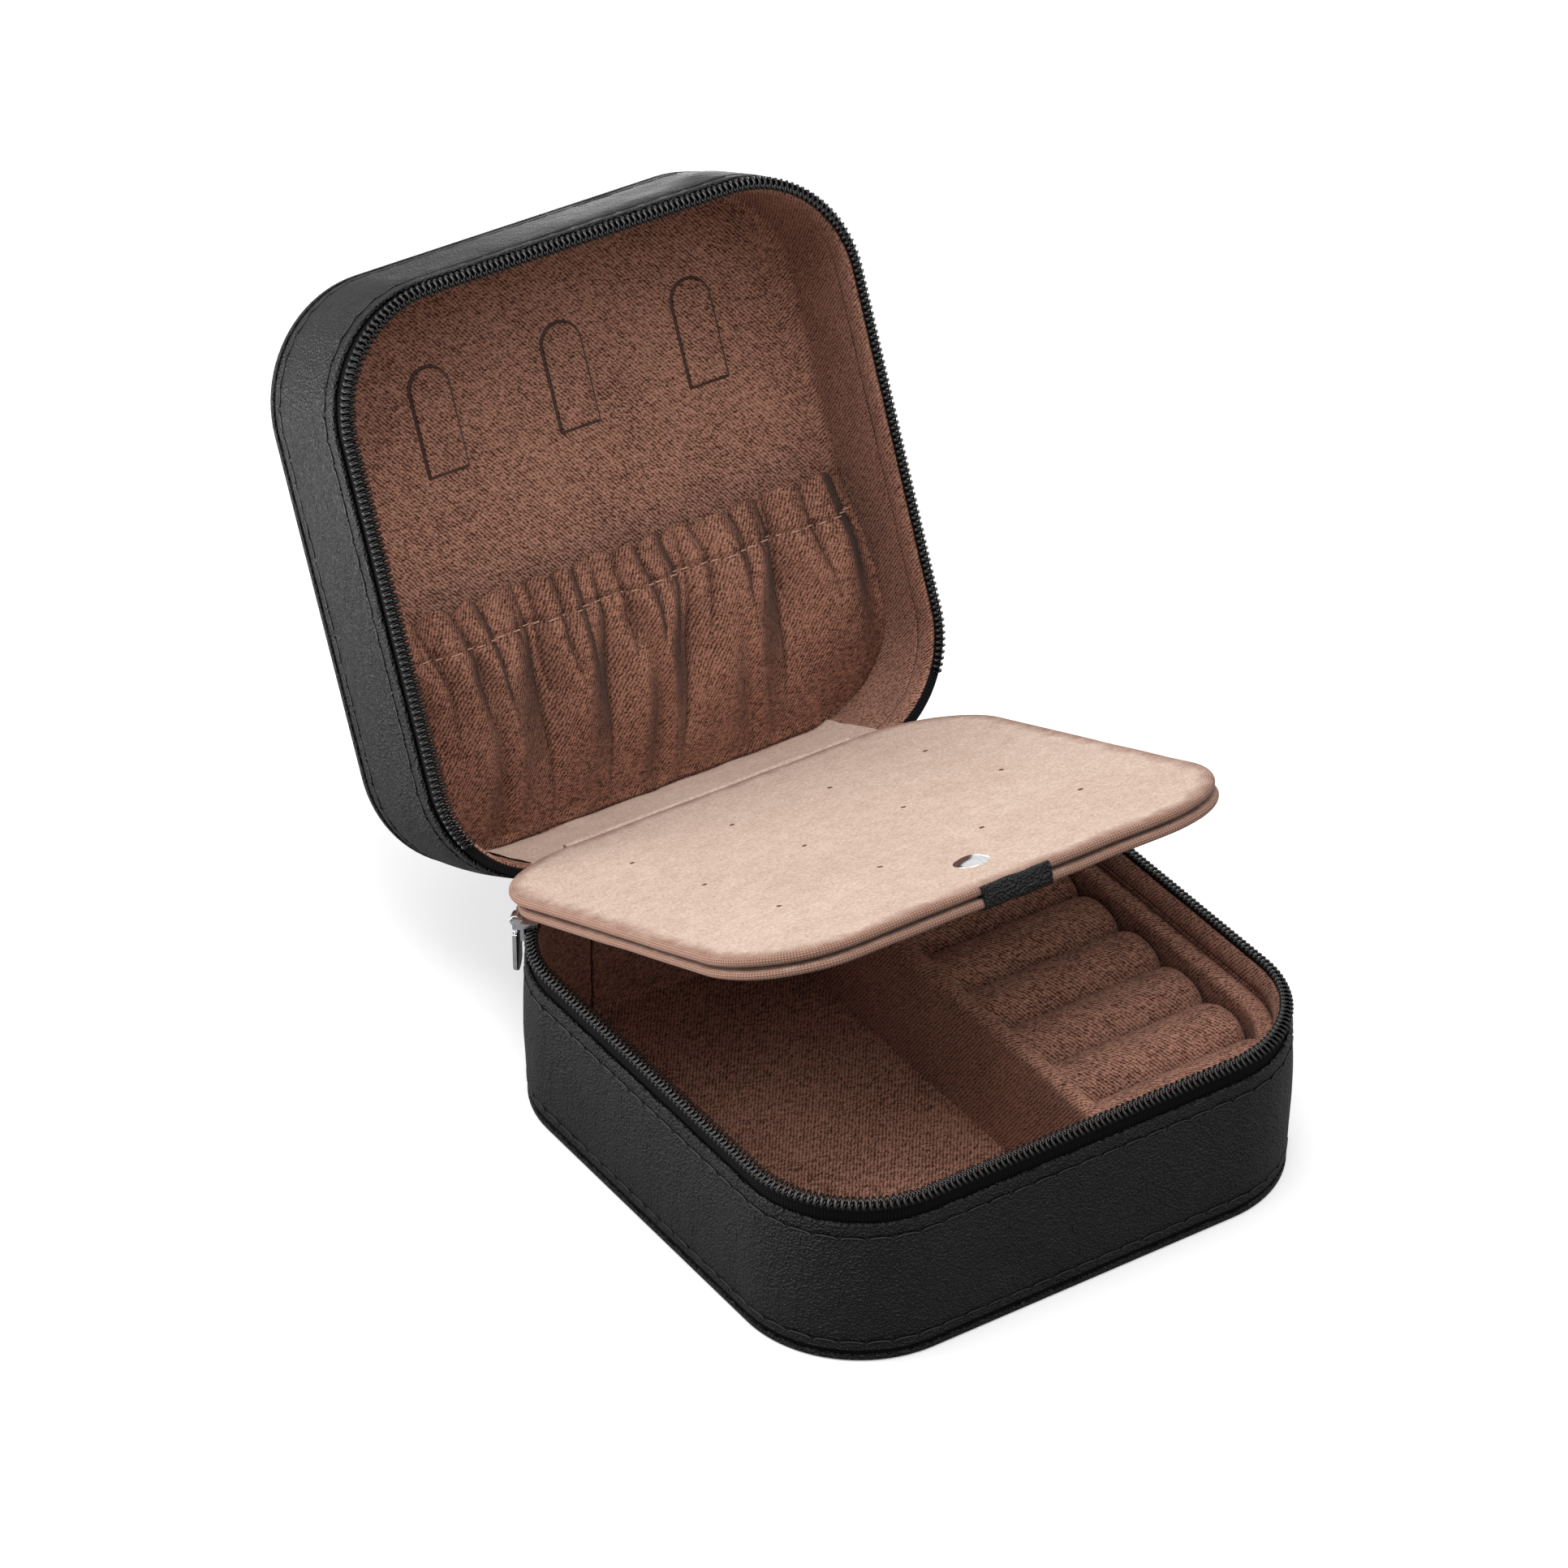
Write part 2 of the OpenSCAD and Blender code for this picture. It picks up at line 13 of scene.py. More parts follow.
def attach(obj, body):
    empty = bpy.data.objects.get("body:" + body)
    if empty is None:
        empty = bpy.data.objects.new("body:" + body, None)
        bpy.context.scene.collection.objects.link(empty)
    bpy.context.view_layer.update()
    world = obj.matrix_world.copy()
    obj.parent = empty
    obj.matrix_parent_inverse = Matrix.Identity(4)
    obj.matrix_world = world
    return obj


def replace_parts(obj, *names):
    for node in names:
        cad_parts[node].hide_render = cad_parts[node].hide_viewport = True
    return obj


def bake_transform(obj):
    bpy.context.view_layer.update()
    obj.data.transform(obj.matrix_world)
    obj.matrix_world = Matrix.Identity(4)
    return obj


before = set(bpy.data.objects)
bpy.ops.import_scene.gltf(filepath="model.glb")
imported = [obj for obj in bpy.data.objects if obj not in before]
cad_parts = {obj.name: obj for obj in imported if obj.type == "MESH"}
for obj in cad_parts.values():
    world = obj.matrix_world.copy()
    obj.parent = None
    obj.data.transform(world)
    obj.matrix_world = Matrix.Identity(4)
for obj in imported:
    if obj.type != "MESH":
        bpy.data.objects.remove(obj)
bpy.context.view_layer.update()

# ---- sizes of the closed box, in millimetres and degrees ----

MM = 0.001
BODY_W, BODY_D, CORNER_R = 100.0, 101.0, 21.0
BASE_H, LID_H = 31.0, 26.5
LID_TOP = BASE_H + LID_H
CORNER_X, CORNER_Y = BODY_W / 2 - CORNER_R, BODY_D / 2 - CORNER_R
WALL = 2.5
FLOOR = 3.6
PAD_UNDER = 2.45
FLOOR_WELT = 1.9
BAND_BACK = 4.0
LID_OPEN, FLAP_SWING = 114.0, 92.0
HINGE = (0.0, 50.9, 28.8)
FLAP_AXIS = (0.0, 46.65, 34.5)
COIL_PITCH, COIL_LEAN = 1.05, 24
COIL_HALF_W, COIL_HALF_H, COIL_WIRE_R = 0.98, 0.26, 0.31
TAPE_END, BASE_COIL_END, LID_COIL_END = 89.0, 56.0, 30.0  # degrees round each rear corner
STITCH_PITCH, STITCH_R = 4.3, 0.17

# ---- placing: shells are drawn standing on their panel, flap pieces about the flap's own axis ----


def turn_x(degrees, at):
    pivot = Matrix.Translation(Vector(at) * MM)
    return pivot @ Matrix.Rotation(math.radians(degrees), 4, "X") @ pivot.inverted()


IN_BASE = Matrix.Identity(4)
OPEN_LID = turn_x(-LID_OPEN, HINGE)
IN_LID = OPEN_LID @ Matrix.Translation((0, 0, LID_TOP * MM)) @ Matrix.Diagonal((1, 1, -1, 1))
IN_FLAP = OPEN_LID @ Matrix.Translation(Vector(FLAP_AXIS) * MM) @ Matrix.Rotation(math.radians(FLAP_SWING), 4, "X")

# ---- mesh helpers ----


def put_in_scene(name, data):
    thing = bpy.data.objects.new(name, data)
    bpy.context.scene.collection.objects.link(thing)
    return thing


def make_piece(name, points, faces, finish, place=IN_BASE, uv=None, smooth=True):
    """A mesh object from points in millimetres, put in its place, with corner UVs in metres."""
    points = np.asarray(points, float).reshape(-1, 3) * MM
    matrix = np.array(place)
    points = points @ matrix[:3, :3].T + matrix[:3, 3]
    faces = [list(f) for f in faces]
    flipped = np.linalg.det(matrix[:3, :3]) < 0
    if flipped:
        faces = [f[::-1] for f in faces]
    mesh = bpy.data.meshes.new(name)
    mesh.from_pydata(points.tolist(), [], faces)
    if uv is not None:
        corners = [np.asarray(c)[::-1] if flipped else np.asarray(c) for c in uv]
        layer = mesh.uv_layers.new(name="UVMap")
        layer.data.foreach_set("uv", (np.concatenate(corners) * MM).astype(np.float32).ravel())
    mesh.polygons.foreach_set("use_smooth", [smooth] * len(mesh.polygons))
    mesh.materials.append(finish)
    mesh.update()
    return new_piece(name, mesh)


def new_piece(name, mesh):
    """Puts a mesh in the scene."""
    piece = put_in_scene(name, mesh)
    return piece


def full_turn(count):
    """Angles evenly round a circle."""
    return np.linspace(0, 2 * math.pi, count, endpoint=False)


def running(points):
    """Distance along rows of points, from 0."""
    steps = np.linalg.norm(np.diff(points, axis=0), axis=-1)
    return np.concatenate([[0.0], np.cumsum(steps)])


def grid_faces(n, m, round_u, round_v):
    """Quads through n rows of m points, and the row and place in it where each begins."""
    iu, jv = (n if round_u else n - 1), (m if round_v else m - 1)
    i, j = np.meshgrid(np.arange(iu), np.arange(jv), indexing="ij")
    i2, j2 = (i + 1) % n, (j + 1) % m
    quads = np.stack([i * m + j, i2 * m + j, i2 * m + j2, i * m + j2], -1).reshape(-1, 4)
    return quads, i, j


def grid_piece(name, grid, finish, place=IN_BASE, round_u=True, round_v=False, u=None, v=None, ends=False):
    """A sheet of quads through a grid of points; u and v are the distances along its two ways.

    A grid whose rows are folded in two, there and back, can have its first and last rows closed.
    """
    n, m = grid.shape[:2]
    quads, i, j = grid_faces(n, m, round_u, round_v)
    if u is None:
        u = running(np.concatenate([grid[:, m // 2], grid[:1, m // 2]]))
    if v is None:
        v = running(np.concatenate([grid[n // 3], grid[n // 3, :1]]))
    uv = np.stack([np.stack([u[i], v[j]], -1), np.stack([u[i + 1], v[j]], -1),
                   np.stack([u[i + 1], v[j + 1]], -1), np.stack([u[i], v[j + 1]], -1)], 2).reshape(-1, 4, 2)
    faces, uv = list(quads), list(uv)
    if ends:
        near = np.arange(m // 2)
        for row, way in ((0, 1), (n - 1, -1)):
            sides = np.stack([near[:-1], near[1:], m - 2 - near[:-1], m - 1 - near[:-1]], -1) + row * m
            faces += list(sides[:, ::way])
            uv += [np.full((4, 2), (u[row], v[k])) for k in near[:-1]]
    return make_piece(name, grid, faces, finish, place, uv)


def closed_at_poles(grid, first, last):
    """Points and faces of a grid that runs round, with a fan at each end to its middle point."""
    n, m = grid.shape[:2]
    faces = [list(q) for q in grid_faces(n, m, True, False)[0]]
    for k in range(n):
        k2 = (k + 1) % n
        faces.append([n * m, k2 * m, k * m])
        faces.append([n * m + 1, k * m + m - 1, k2 * m + m - 1])
    return np.concatenate([grid.reshape(-1, 3), [first, last]]), faces


def outline(half_w, half_d, r, step=0.6, fine=()):
    """Rounded rectangle from the middle of its +Y side, counterclockwise: points, outward normals, distances."""
    cx, cy = half_w - r, half_d - r
    runs = [("line", (0, half_d), (-cx, half_d)), ("arc", (-cx, cy), 90), ("line", (-half_w, cy), (-half_w, -cy)),
            ("arc", (-cx, -cy), 180), ("line", (-cx, -half_d), (cx, -half_d)), ("arc", (cx, -cy), 270),
            ("line", (half_w, -cy), (half_w, cy)), ("arc", (cx, cy), 0), ("line", (cx, half_d), (0, half_d))]
    lengths = [math.dist(k[1], k[2]) if k[0] == "line" else r * math.pi / 2 for k in runs]
    total = sum(lengths)
    s = np.linspace(0, total, int(round(total / step)), endpoint=False)
    for at in fine:
        s = np.concatenate([s[np.abs(s - at) > 0.8], at + np.linspace(-0.8, 0.8, 13)])
    s = np.sort(s)
    points, normals = np.zeros((len(s), 2)), np.zeros((len(s), 2))
    begin = 0.0
    for kind, length in zip(runs, lengths):
        inside = (s >= begin - 1e-9) & (s < begin + length - 1e-9)
        t = (s[inside] - begin) / length
        if kind[0] == "line":
            a, b = np.array(kind[1], float), np.array(kind[2], float)
            points[inside] = a + (b - a) * t[:, None]
            way = (b - a) / length
            normals[inside] = (way[1], -way[0])
        else:
            angle = np.radians(kind[2] + 90 * t)
            normals[inside] = np.stack([np.cos(angle), np.sin(angle)], -1)
            points[inside] = np.array(kind[1]) + r * normals[inside]
        begin += length
    return points, normals, np.concatenate([s, [total]])


BODY_LINE = outline(BODY_W / 2, BODY_D / 2, CORNER_R)
REAR_LEFT_SEAM = CORNER_X + 0.5  # how far round the outline the lining's upright seam is
LINING_LINE = outline(BODY_W / 2, BODY_D / 2, CORNER_R, fine=(REAR_LEFT_SEAM,))


def sweep(profile, line=BODY_LINE, push=None):
    """Carries (inset, height) points round an outline; push(distance round, height) moves them out of the face."""
    points, normals, s = line
    profile = np.asarray(profile, float)
    n, m = len(points), len(profile)
    grid = np.zeros((n, m, 3))
    grid[..., :2] = points[:, None] - profile[None, :, :1] * normals[:, None]
    grid[..., 2] = profile[None, :, 1]
    v = running(profile)
    if push is not None:
        slope = np.gradient(profile, axis=0)
        slope /= np.maximum(np.linalg.norm(slope, axis=1, keepdims=True), 1e-9)
        side, rise = slope[:, 1], slope[:, 0]
        amount = push(s[:-1, None], profile[None, :, 1])
        grid[..., :2] += normals[:, None] * (side[None, :] * amount)[..., None]
        grid[..., 2] += rise[None, :] * amount
    return grid, s, v


def spread(*stops):
    """Heights through stops of (from, step), ending at the last one."""
    values = []
    for (a, step), (b, _) in zip(stops, stops[1:]):
        count = max(1, int(round(abs(b - a) / step)))
        values += list(np.linspace(a, b, count, endpoint=False))
    return values + [stops[-1][0]]


def arc(cx, cz, r, start, end, count):
    """Points of an arc in a profile, angles in degrees from the inset way to the height way."""
    angle = np.radians(np.linspace(start, end, count))
    return [(cx + r * math.cos(a), cz + r * math.sin(a)) for a in angle]


def ripple(u, v, seed, sizes, amount, stretch=1.0):
    """Smooth unevenness from a few crossing waves of the given wavelengths."""
    rng = np.random.default_rng(seed)
    total, waves = 0.0, 3
    for size in sizes:
        for _ in range(waves):
            angle, phase = rng.uniform(0, math.pi), rng.uniform(0, 2 * math.pi)
            total = total + np.sin(2 * math.pi * (u * math.cos(angle) / stretch + v * math.sin(angle)) / size + phase)
    return amount * total / (waves * len(sizes)) ** 0.5


def bell(v, at, width):
    """A round hill of height 1."""
    return np.exp(-(((v - at) / width) ** 2))


def groove(v, at, depth, width):
    return -depth * bell(v, at, width)


def eased(t):
    """From 0 to 1 with a soft start and end."""
    return t * t * (3 - 2 * t)


# ---- material helpers ----


def node_putter(tree):
    """Empties a node tree, and gives a function that puts a node in it.

    An input that is given as a socket is joined to it, and any other value is set on the input.
    """
    tree.nodes.clear()

    def put(kind, inputs=None, **settings):
        node = tree.nodes.new(kind)
        for key, value in settings.items():
            setattr(node, key, value)
        for key, value in (inputs or {}).items():
            if isinstance(value, bpy.types.NodeSocket):
                tree.links.new(value, node.inputs[key])
            else:
                node.inputs[key].default_value = value
        return node

    return put


class Finish:
    """A node material under construction around one Principled shader."""

    def __init__(self, name, **constants):
        self.material = bpy.data.materials.new(name)
        self.material.use_nodes = True
        tree = self.material.node_tree
        self.put, self.join = node_putter(tree), tree.links.new
        self.shader = self.put("ShaderNodeBsdfPrincipled", {k.replace("_", " "): v for k, v in constants.items()})
        self.put("ShaderNodeOutputMaterial", {0: self.shader.outputs[0]})
        self.coords = self.put("ShaderNodeTexCoord")

    def source(self, where, scale=(1, 1, 1), turn=0.0):
        """Coordinates stretched and turned, the turn in degrees about Z or about all three axes."""
        turns = turn if isinstance(turn, tuple) else (0, 0, turn)
        return self.put("ShaderNodeMapping", {"Vector": self.coords.outputs[where], "Scale": scale,
                                              "Rotation": [math.radians(t) for t in turns]}).outputs[0]

    def noise(self, where, scale, detail=3.0, roughness=0.6, stretch=(1, 1, 1), turn=0.0):
        return self.put("ShaderNodeTexNoise", {"Vector": self.source(where, stretch, turn), "Scale": scale,
                                               "Detail": detail, "Roughness": roughness}).outputs[0]

    def cells(self, where, scale, smooth):
        return self.put("ShaderNodeTexVoronoi", {"Vector": self.source(where), "Scale": scale, "Smoothness": smooth},
                        feature="SMOOTH_F1").outputs[0]

    def bands(self, where, pitch, turn=0.0, distortion=0.0, detail_scale=1.0):
        """Stripes of one pitch in metres, across the given angle."""
        scale = 2 * math.pi / 20 / pitch
        return self.put("ShaderNodeTexWave", {"Vector": self.source(where, (scale, scale, scale), turn), "Scale": 1.0,
                                              "Distortion": distortion, "Detail Scale": detail_scale},
                        wave_type="BANDS", bands_direction="X").outputs["Fac"]

    def math(self, operation, a, b=0.5, clamp=False):
        return self.put("ShaderNodeMath", {0: a, 1: b}, operation=operation, use_clamp=clamp).outputs[0]

    def weigh(self, *parts):
        """The sum of some values, each times its weight."""
        total = None
        for value, weight in parts:
            part = self.math("MULTIPLY", value, weight)
            total = part if total is None else self.math("ADD", total, part)
        return total

    def ramp(self, value, *stops):
        """Colour that runs between two (place, colour) stops."""
        node = self.put("ShaderNodeValToRGB", {0: value})
        for element, (place, color) in zip(node.color_ramp.elements, stops):
            element.position, element.color = place, color
        return node.outputs[0]

    def mix(self, factor, a, b):
        return self.put("ShaderNodeMix", {0: factor, 6: a, 7: b}, data_type="RGBA").outputs[2]

    def span(self, value, low, high):
        return self.put("ShaderNodeMapRange", {"Value": value, "To Min": low, "To Max": high}).outputs[0]

    def color(self, value):
        self.join(value, self.shader.inputs["Base Color"])

    def roughness(self, value):
        self.join(value, self.shader.inputs["Roughness"])

    def bump(self, *layers):
        """Stacks (height, distance in metres, strength) bumps."""
        below = {}
        for height, distance, strength in layers:
            node = self.put("ShaderNodeBump", {"Strength": strength, "Distance": distance, "Height": height, **below})
            below = {"Normal": node.outputs[0]}
        self.join(below["Normal"], self.shader.inputs["Normal"])


def shade(r, g, b):
    """A colour given as 0 to 255 on a screen, as the shader wants it."""
    line = [c / 255 for c in (r, g, b)]
    return tuple(c / 12.92 if c <= 0.04045 else ((c + 0.055) / 1.055) ** 2.4 for c in line) + (1.0,)


def grained_leather():
    """Black faux leather: fine pebbles, a few soft slanting creases, satin shine."""
    f = Finish("black_leather", Specular_IOR_Level=0.3)
    pebble = f.cells("Object", 2300, 0.3)
    dust = f.noise("Object", 6000, 2.0)
    crease = f.noise("Object", 170, 6.0, 0.6, (1, 1, 0.3), (24, 24, 0))
    dent = f.noise("Object", 34, 2.0, 0.5, (1, 1, 0.6), 20)
    broad = f.noise("Object", 26, 2.0)
    f.color(f.ramp(f.weigh((pebble, 0.6), (broad, 0.5)), (0.25, shade(7, 7, 8)), (0.85, shade(22, 22, 23))))
    f.roughness(f.span(f.weigh((dust, 0.35), (broad, 0.65)), 0.2, 0.46))
    f.bump((dent, 0.004, 0.32), (crease, 0.003, 0.75), (pebble, 0.0005, 1.0), (dust, 0.00012, 0.8))
    return f.material


def brushed_twill(name, dark, light, painted_shade=None):
    """Brushed lining cloth: short slanting twill lines, broken up by the nap; given a third colour, it mixes in painted
    shade where the mesh's fold attribute marks folds turned from the light and their valleys.
    """
    f = Finish(name, Roughness=0.95, Specular_IOR_Level=0.03, Sheen_Weight=0.06, Sheen_Roughness=0.5)
    nap = f.noise("Object", 3400, 2.0, 0.6, (0.45, 1, 1))
    mottle = f.noise("Object", 1300, 3.0, 0.6, (0.6, 1, 1))
    patch = f.noise("Object", 60, 3.0)
    twill = f.bands("UV", 0.00055, 36, 4.0, 2.0)
    tone = f.weigh((nap, 0.6), (twill, 0.16), (mottle, 0.3), (patch, 0.12))
    face = f.ramp(tone, (0.46, dark), (0.7, light))
    # Painted shade: the mesh's fold attribute darkens the cloth towards the painted-shade colour.
    if painted_shade:
        fold = f.put("ShaderNodeAttribute", attribute_name="fold")
        face = f.mix(fold.outputs["Fac"], face, painted_shade)
    f.color(face)
    f.bump((mottle, 0.0003, 0.2), (twill, 0.00012, 0.5), (nap, 0.00016, 0.6))
    return f.material


def flap_suede(name, dark, light, *edge):
    """Smooth suede; with an edge's two colours, it turns to a visible weave where it wraps a board's edge."""
    f = Finish(name, Roughness=0.95, Specular_IOR_Level=0.06, Sheen_Weight=0.1, Sheen_Roughness=0.5)
    nap = f.noise("Object", 1900, 3.0, 0.75)
    mottle = f.noise("Object", 330, 3.0, 0.6)
    patch = f.noise("Object", 50, 3.0)
    face = f.ramp(f.weigh((nap, 0.68), (mottle, 0.2), (patch, 0.12)), (0.4, dark), (0.62, light))
    if not edge:
        f.color(face)
        f.bump((mottle, 0.0003, 0.14), (nap, 0.00012, 0.4))
        return f.material
    warp, weft = f.bands("UV", 0.0005, 0, 1.0, 2.0), f.bands("UV", 0.00042, 90, 1.0, 2.0)
    weave = f.math("MULTIPLY", warp, weft)
    wrapped = f.ramp(weave, (0.0, edge[0]), (0.9, edge[1]))
    away = f.put("ShaderNodeSeparateXYZ", {0: f.source("UV")})
    wrap_reach = 0.003
    reach = f.math("MULTIPLY", f.math("ABSOLUTE", away.outputs[1]), 1 / wrap_reach)
    uneven = f.math("ADD", reach, f.math("MULTIPLY", f.math("SUBTRACT", mottle, 0.5), 1.0))
    near_edge = f.math("SUBTRACT", 1.25, uneven, clamp=True)
    f.color(f.mix(f.math("MULTIPLY", near_edge, 0.9), face, wrapped))
    relief = f.math("MULTIPLY", weave, near_edge)
    f.bump((mottle, 0.0003, 0.14), (relief, 0.0002, 0.7), (nap, 0.00012, 0.4))
    return f.material


def woven_tape():
    """Black zipper tape: close ribs across its run."""
    f = Finish("zipper_tape", Roughness=0.85, Specular_IOR_Level=0.12)
    ribs = f.bands("UV", 0.0006, 0, 0.4)
    rows = f.bands("UV", 0.0005, 90, 0.4)
    weave = f.math("MULTIPLY", ribs, rows)
    f.color(f.ramp(weave, (0.1, shade(5, 5, 6)), (0.95, shade(30, 30, 32))))
    f.bump((weave, 0.00014, 0.7))
    return f.material


def coil_nylon():
    """Shiny black coil."""
    f = Finish("zipper_coil", Specular_IOR_Level=0.4, Coat_Weight=0.12, Coat_Roughness=0.1)
    scuff = f.noise("Object", 900, 2.0)
    f.color(f.ramp(scuff, (0.3, shade(4, 4, 5)), (0.7, shade(9, 9, 10))))
    f.roughness(f.span(scuff, 0.12, 0.24))
    f.bump((scuff, 0.00003, 0.2))
    return f.material


def sewing_thread(name, dark, light):
    """Twisted thread."""
    f = Finish(name, Roughness=0.5, Specular_IOR_Level=0.45)
    twist = f.noise("Object", 4200, 1.0)
    f.color(f.ramp(twist, (0.3, dark), (0.7, light)))
    f.bump((twist, 0.0001, 0.6))
    return f.material


def polished_metal():
    """Bright nickel with faint handling marks."""
    f = Finish("metal", Metallic=1.0)
    marks = f.noise("Object", 1200, 3.0, 0.6, (1, 0.2, 1))
    f.color(f.ramp(marks, (0.3, shade(206, 207, 210)), (0.7, shade(232, 232, 234))))
    f.roughness(f.span(marks, 0.14, 0.26))
    f.bump((marks, 0.00002, 0.1))
    return f.material


def grey_board():
    """Pressed paper board, a warm grey."""
    f = Finish("stiffening_board", Roughness=0.9, Specular_IOR_Level=0.2)
    pulp = f.noise("Object", 1400, 4.0, 0.7)
    f.color(f.ramp(pulp, (0.3, shade(138, 126, 112)), (0.7, shade(168, 155, 139))))
    f.bump((pulp, 0.0001, 0.4))
    return f.material


LEATHER = grained_leather()
LINING = brushed_twill("brown_lining", shade(72, 45, 36), shade(186, 138, 118))
# The pocket's copy of the lining colours, a little darker; its third colour is the painted shade of its folds.
POCKET_TWILL = brushed_twill("pocket_twill", shade(64, 40, 31), shade(170, 122, 103), shade(26, 15, 11))
BEIGE_TONES = shade(184, 157, 140), shade(217, 194, 179)
BEIGE = flap_suede("beige_suede", *BEIGE_TONES, shade(124, 84, 68), shade(196, 160, 142))
BEIGE_PLAIN = flap_suede("beige_band", *BEIGE_TONES)
TAPE = woven_tape()
COIL = coil_nylon()
BLACK_THREAD = sewing_thread("black_thread", shade(6, 6, 7), shade(24, 24, 26))
# Painted shadow: a dark brown thread finish for the thin rods laid in the cut round each tab and along the lining's
# seams.
SLIT_SHADOW = sewing_thread("slit_shadow", shade(42, 26, 20), shade(70, 45, 36))
TAN_THREAD = sewing_thread("tan_thread", shade(158, 120, 100), shade(204, 166, 146))
METAL = polished_metal()
BOARD = grey_board()

# ---- repeats laid along a run ----


def laying_tree():
    """Node tree that lays one small piece along a run at an even spacing, each turned to follow it."""
    tree = bpy.data.node_groups.new("lay_along_run", "GeometryNodeTree")
    for name, kind in (("Geometry", "Geometry"), ("Spacing", "Float"), ("Unevenness", "Float"), ("Seed", "Int"),
                       ("Piece", "Object"), ("Finish", "Material")):
        tree.interface.new_socket(name, in_out="INPUT", socket_type="NodeSocket" + kind)
    tree.interface.new_socket("Geometry", in_out="OUTPUT", socket_type="NodeSocketGeometry")
    put = node_putter(tree)
    given = put("NodeGroupInput").outputs
    run = put("GeometryNodeMeshToCurve", {0: given["Geometry"]}).outputs[0]
    points = put("GeometryNodeCurveToPoints", {0: run, "Length": given["Spacing"]}, mode="LENGTH").outputs
    turn = put("FunctionNodeAlignRotationToVector", {"Vector": points["Tangent"]}, axis="X", pivot_axis="Z")
    least, most = (put("ShaderNodeMath", {0: 1.0, 1: given["Unevenness"]}, operation=sign).outputs[0]
                   for sign in ("SUBTRACT", "ADD"))
    length = put("FunctionNodeRandomValue", {2: least, 3: most, "Seed": given["Seed"]}, data_type="FLOAT").outputs[1]
    size = put("ShaderNodeCombineXYZ", {0: length, 1: 1.0, 2: 1.0}).outputs[0]
    small = put("GeometryNodeObjectInfo", {"Object": given["Piece"]}).outputs["Geometry"]
    laid = put("GeometryNodeInstanceOnPoints", {"Points": points["Points"], "Instance": small,
                                                "Rotation": turn.outputs[0], "Scale": size}).outputs[0]
    real = put("GeometryNodeRealizeInstances", {0: laid}).outputs[0]
    dressed = put("GeometryNodeSetMaterial", {0: real, "Material": given["Finish"]}).outputs[0]
    put("NodeGroupOutput", {0: dressed})
    return tree


LAY = laying_tree()


def lay_along(name, run, small, spacing, finish, place=IN_BASE, closed=False, uneven=0.0, seed=3):
    """Lays the small mesh, in millimetres with X along the run, along points in millimetres; makes one plain mesh."""
    run = np.asarray(run, float)
    count = len(run)
    edges = [(i, i + 1) for i in range(count - 1)] + ([(count - 1, 0)] if closed else [])
    rail = bpy.data.meshes.new(name + "_run")
    rail.from_pydata(run.tolist(), edges, [])
    host = put_in_scene(name + "_run", rail)
    length = running(np.concatenate([run, run[:1]]) if closed else run)[-1]
    settings = {"Spacing": length / round(length / spacing), "Unevenness": uneven, "Seed": seed,
                "Piece": small, "Finish": finish}
    laid = host.modifiers.new("lay", "NODES")
    laid.node_group = LAY
    for socket in LAY.interface.items_tree:
        if socket.in_out == "INPUT" and socket.name in settings:
            laid[socket.identifier] = settings[socket.name]
    bpy.context.view_layer.update()
    seen = host.evaluated_get(bpy.context.evaluated_depsgraph_get())
    mesh = bpy.data.meshes.new_from_object(seen)
    host.modifiers.clear()
    bpy.data.objects.remove(host)
    mesh.name = name
    mesh.transform(place @ Matrix.Scale(MM, 4))
    if place.determinant() < 0:
        mesh.flip_normals()
    mesh.polygons.foreach_set("use_smooth", [True] * len(mesh.polygons))
    return new_piece(name, mesh)


def small_tube(name, centres, radius, sides=5):
    """A little bent rod through centres in millimetres, kept out of the scene, for laying along a run."""
    centres = np.asarray(centres, float)
    radius = np.broadcast_to(radius, (len(centres),))
    way = np.gradient(centres, axis=0)
    way /= np.linalg.norm(way, axis=1, keepdims=True)
    guide = np.tile([0.0, 1.0, 0.0], (len(centres), 1))
    guide[np.abs(way[:, 1]) > 0.9] = (0.0, 0.0, 1.0)
    a = np.cross(way, guide)
    a /= np.linalg.norm(a, axis=1, keepdims=True)
    b = np.cross(way, a)
    turn = full_turn(sides)
    grid = centres[:, None] + radius[:, None, None] * (
        np.cos(turn)[None, :, None] * a[:, None] - np.sin(turn)[None, :, None] * b[:, None])
    quads = grid_faces(len(centres), sides, False, True)[0]
    faces = [list(q) for q in quads] + [list(range(sides))[::-1]]
    faces += [[(len(centres) - 1) * sides + k for k in range(sides)]]
    mesh = bpy.data.meshes.new(name)
    mesh.from_pydata(grid.reshape(-1, 3).tolist(), [], faces)
    return bpy.data.objects.new(name, mesh)


def coil_turn():
    """One turn of the coil's helix, closed up by the next one."""
    steps = 13
    turn = np.radians(np.linspace(-90, 270, steps))
    across, up = COIL_HALF_W * np.cos(turn), COIL_HALF_H * np.sin(turn)
    lean = math.radians(COIL_LEAN)
    across, up = across * math.cos(lean) - up * math.sin(lean), across * math.sin(lean) + up * math.cos(lean)
    along = np.linspace(-COIL_PITCH / 2, COIL_PITCH / 2, steps)
    return small_tube("coil_turn", np.stack([along, across, up], -1), COIL_WIRE_R, 6)


def stitch_thread(length, radius):
    """One stitch, its ends diving into the material."""
    t = np.linspace(-1, 1, 7)
    centres = np.stack([t * length / 2, 0 * t, -radius * 1.6 * t ** 4], -1)
    return small_tube("stitch", centres, radius * (1 - 0.35 * t ** 4), 6)


COIL_TURN = coil_turn()
TICK_PATH = [(-0.12, -0.3, 0.05), (-0.08, -0.1, 0.16), (0.02, 0.1, 0.16), (0.12, 0.3, 0.0)]
COIL_TICK = small_tube("coil_tick", TICK_PATH, 0.1)

# ---- shells: the same drawing serves the base and the lid ----


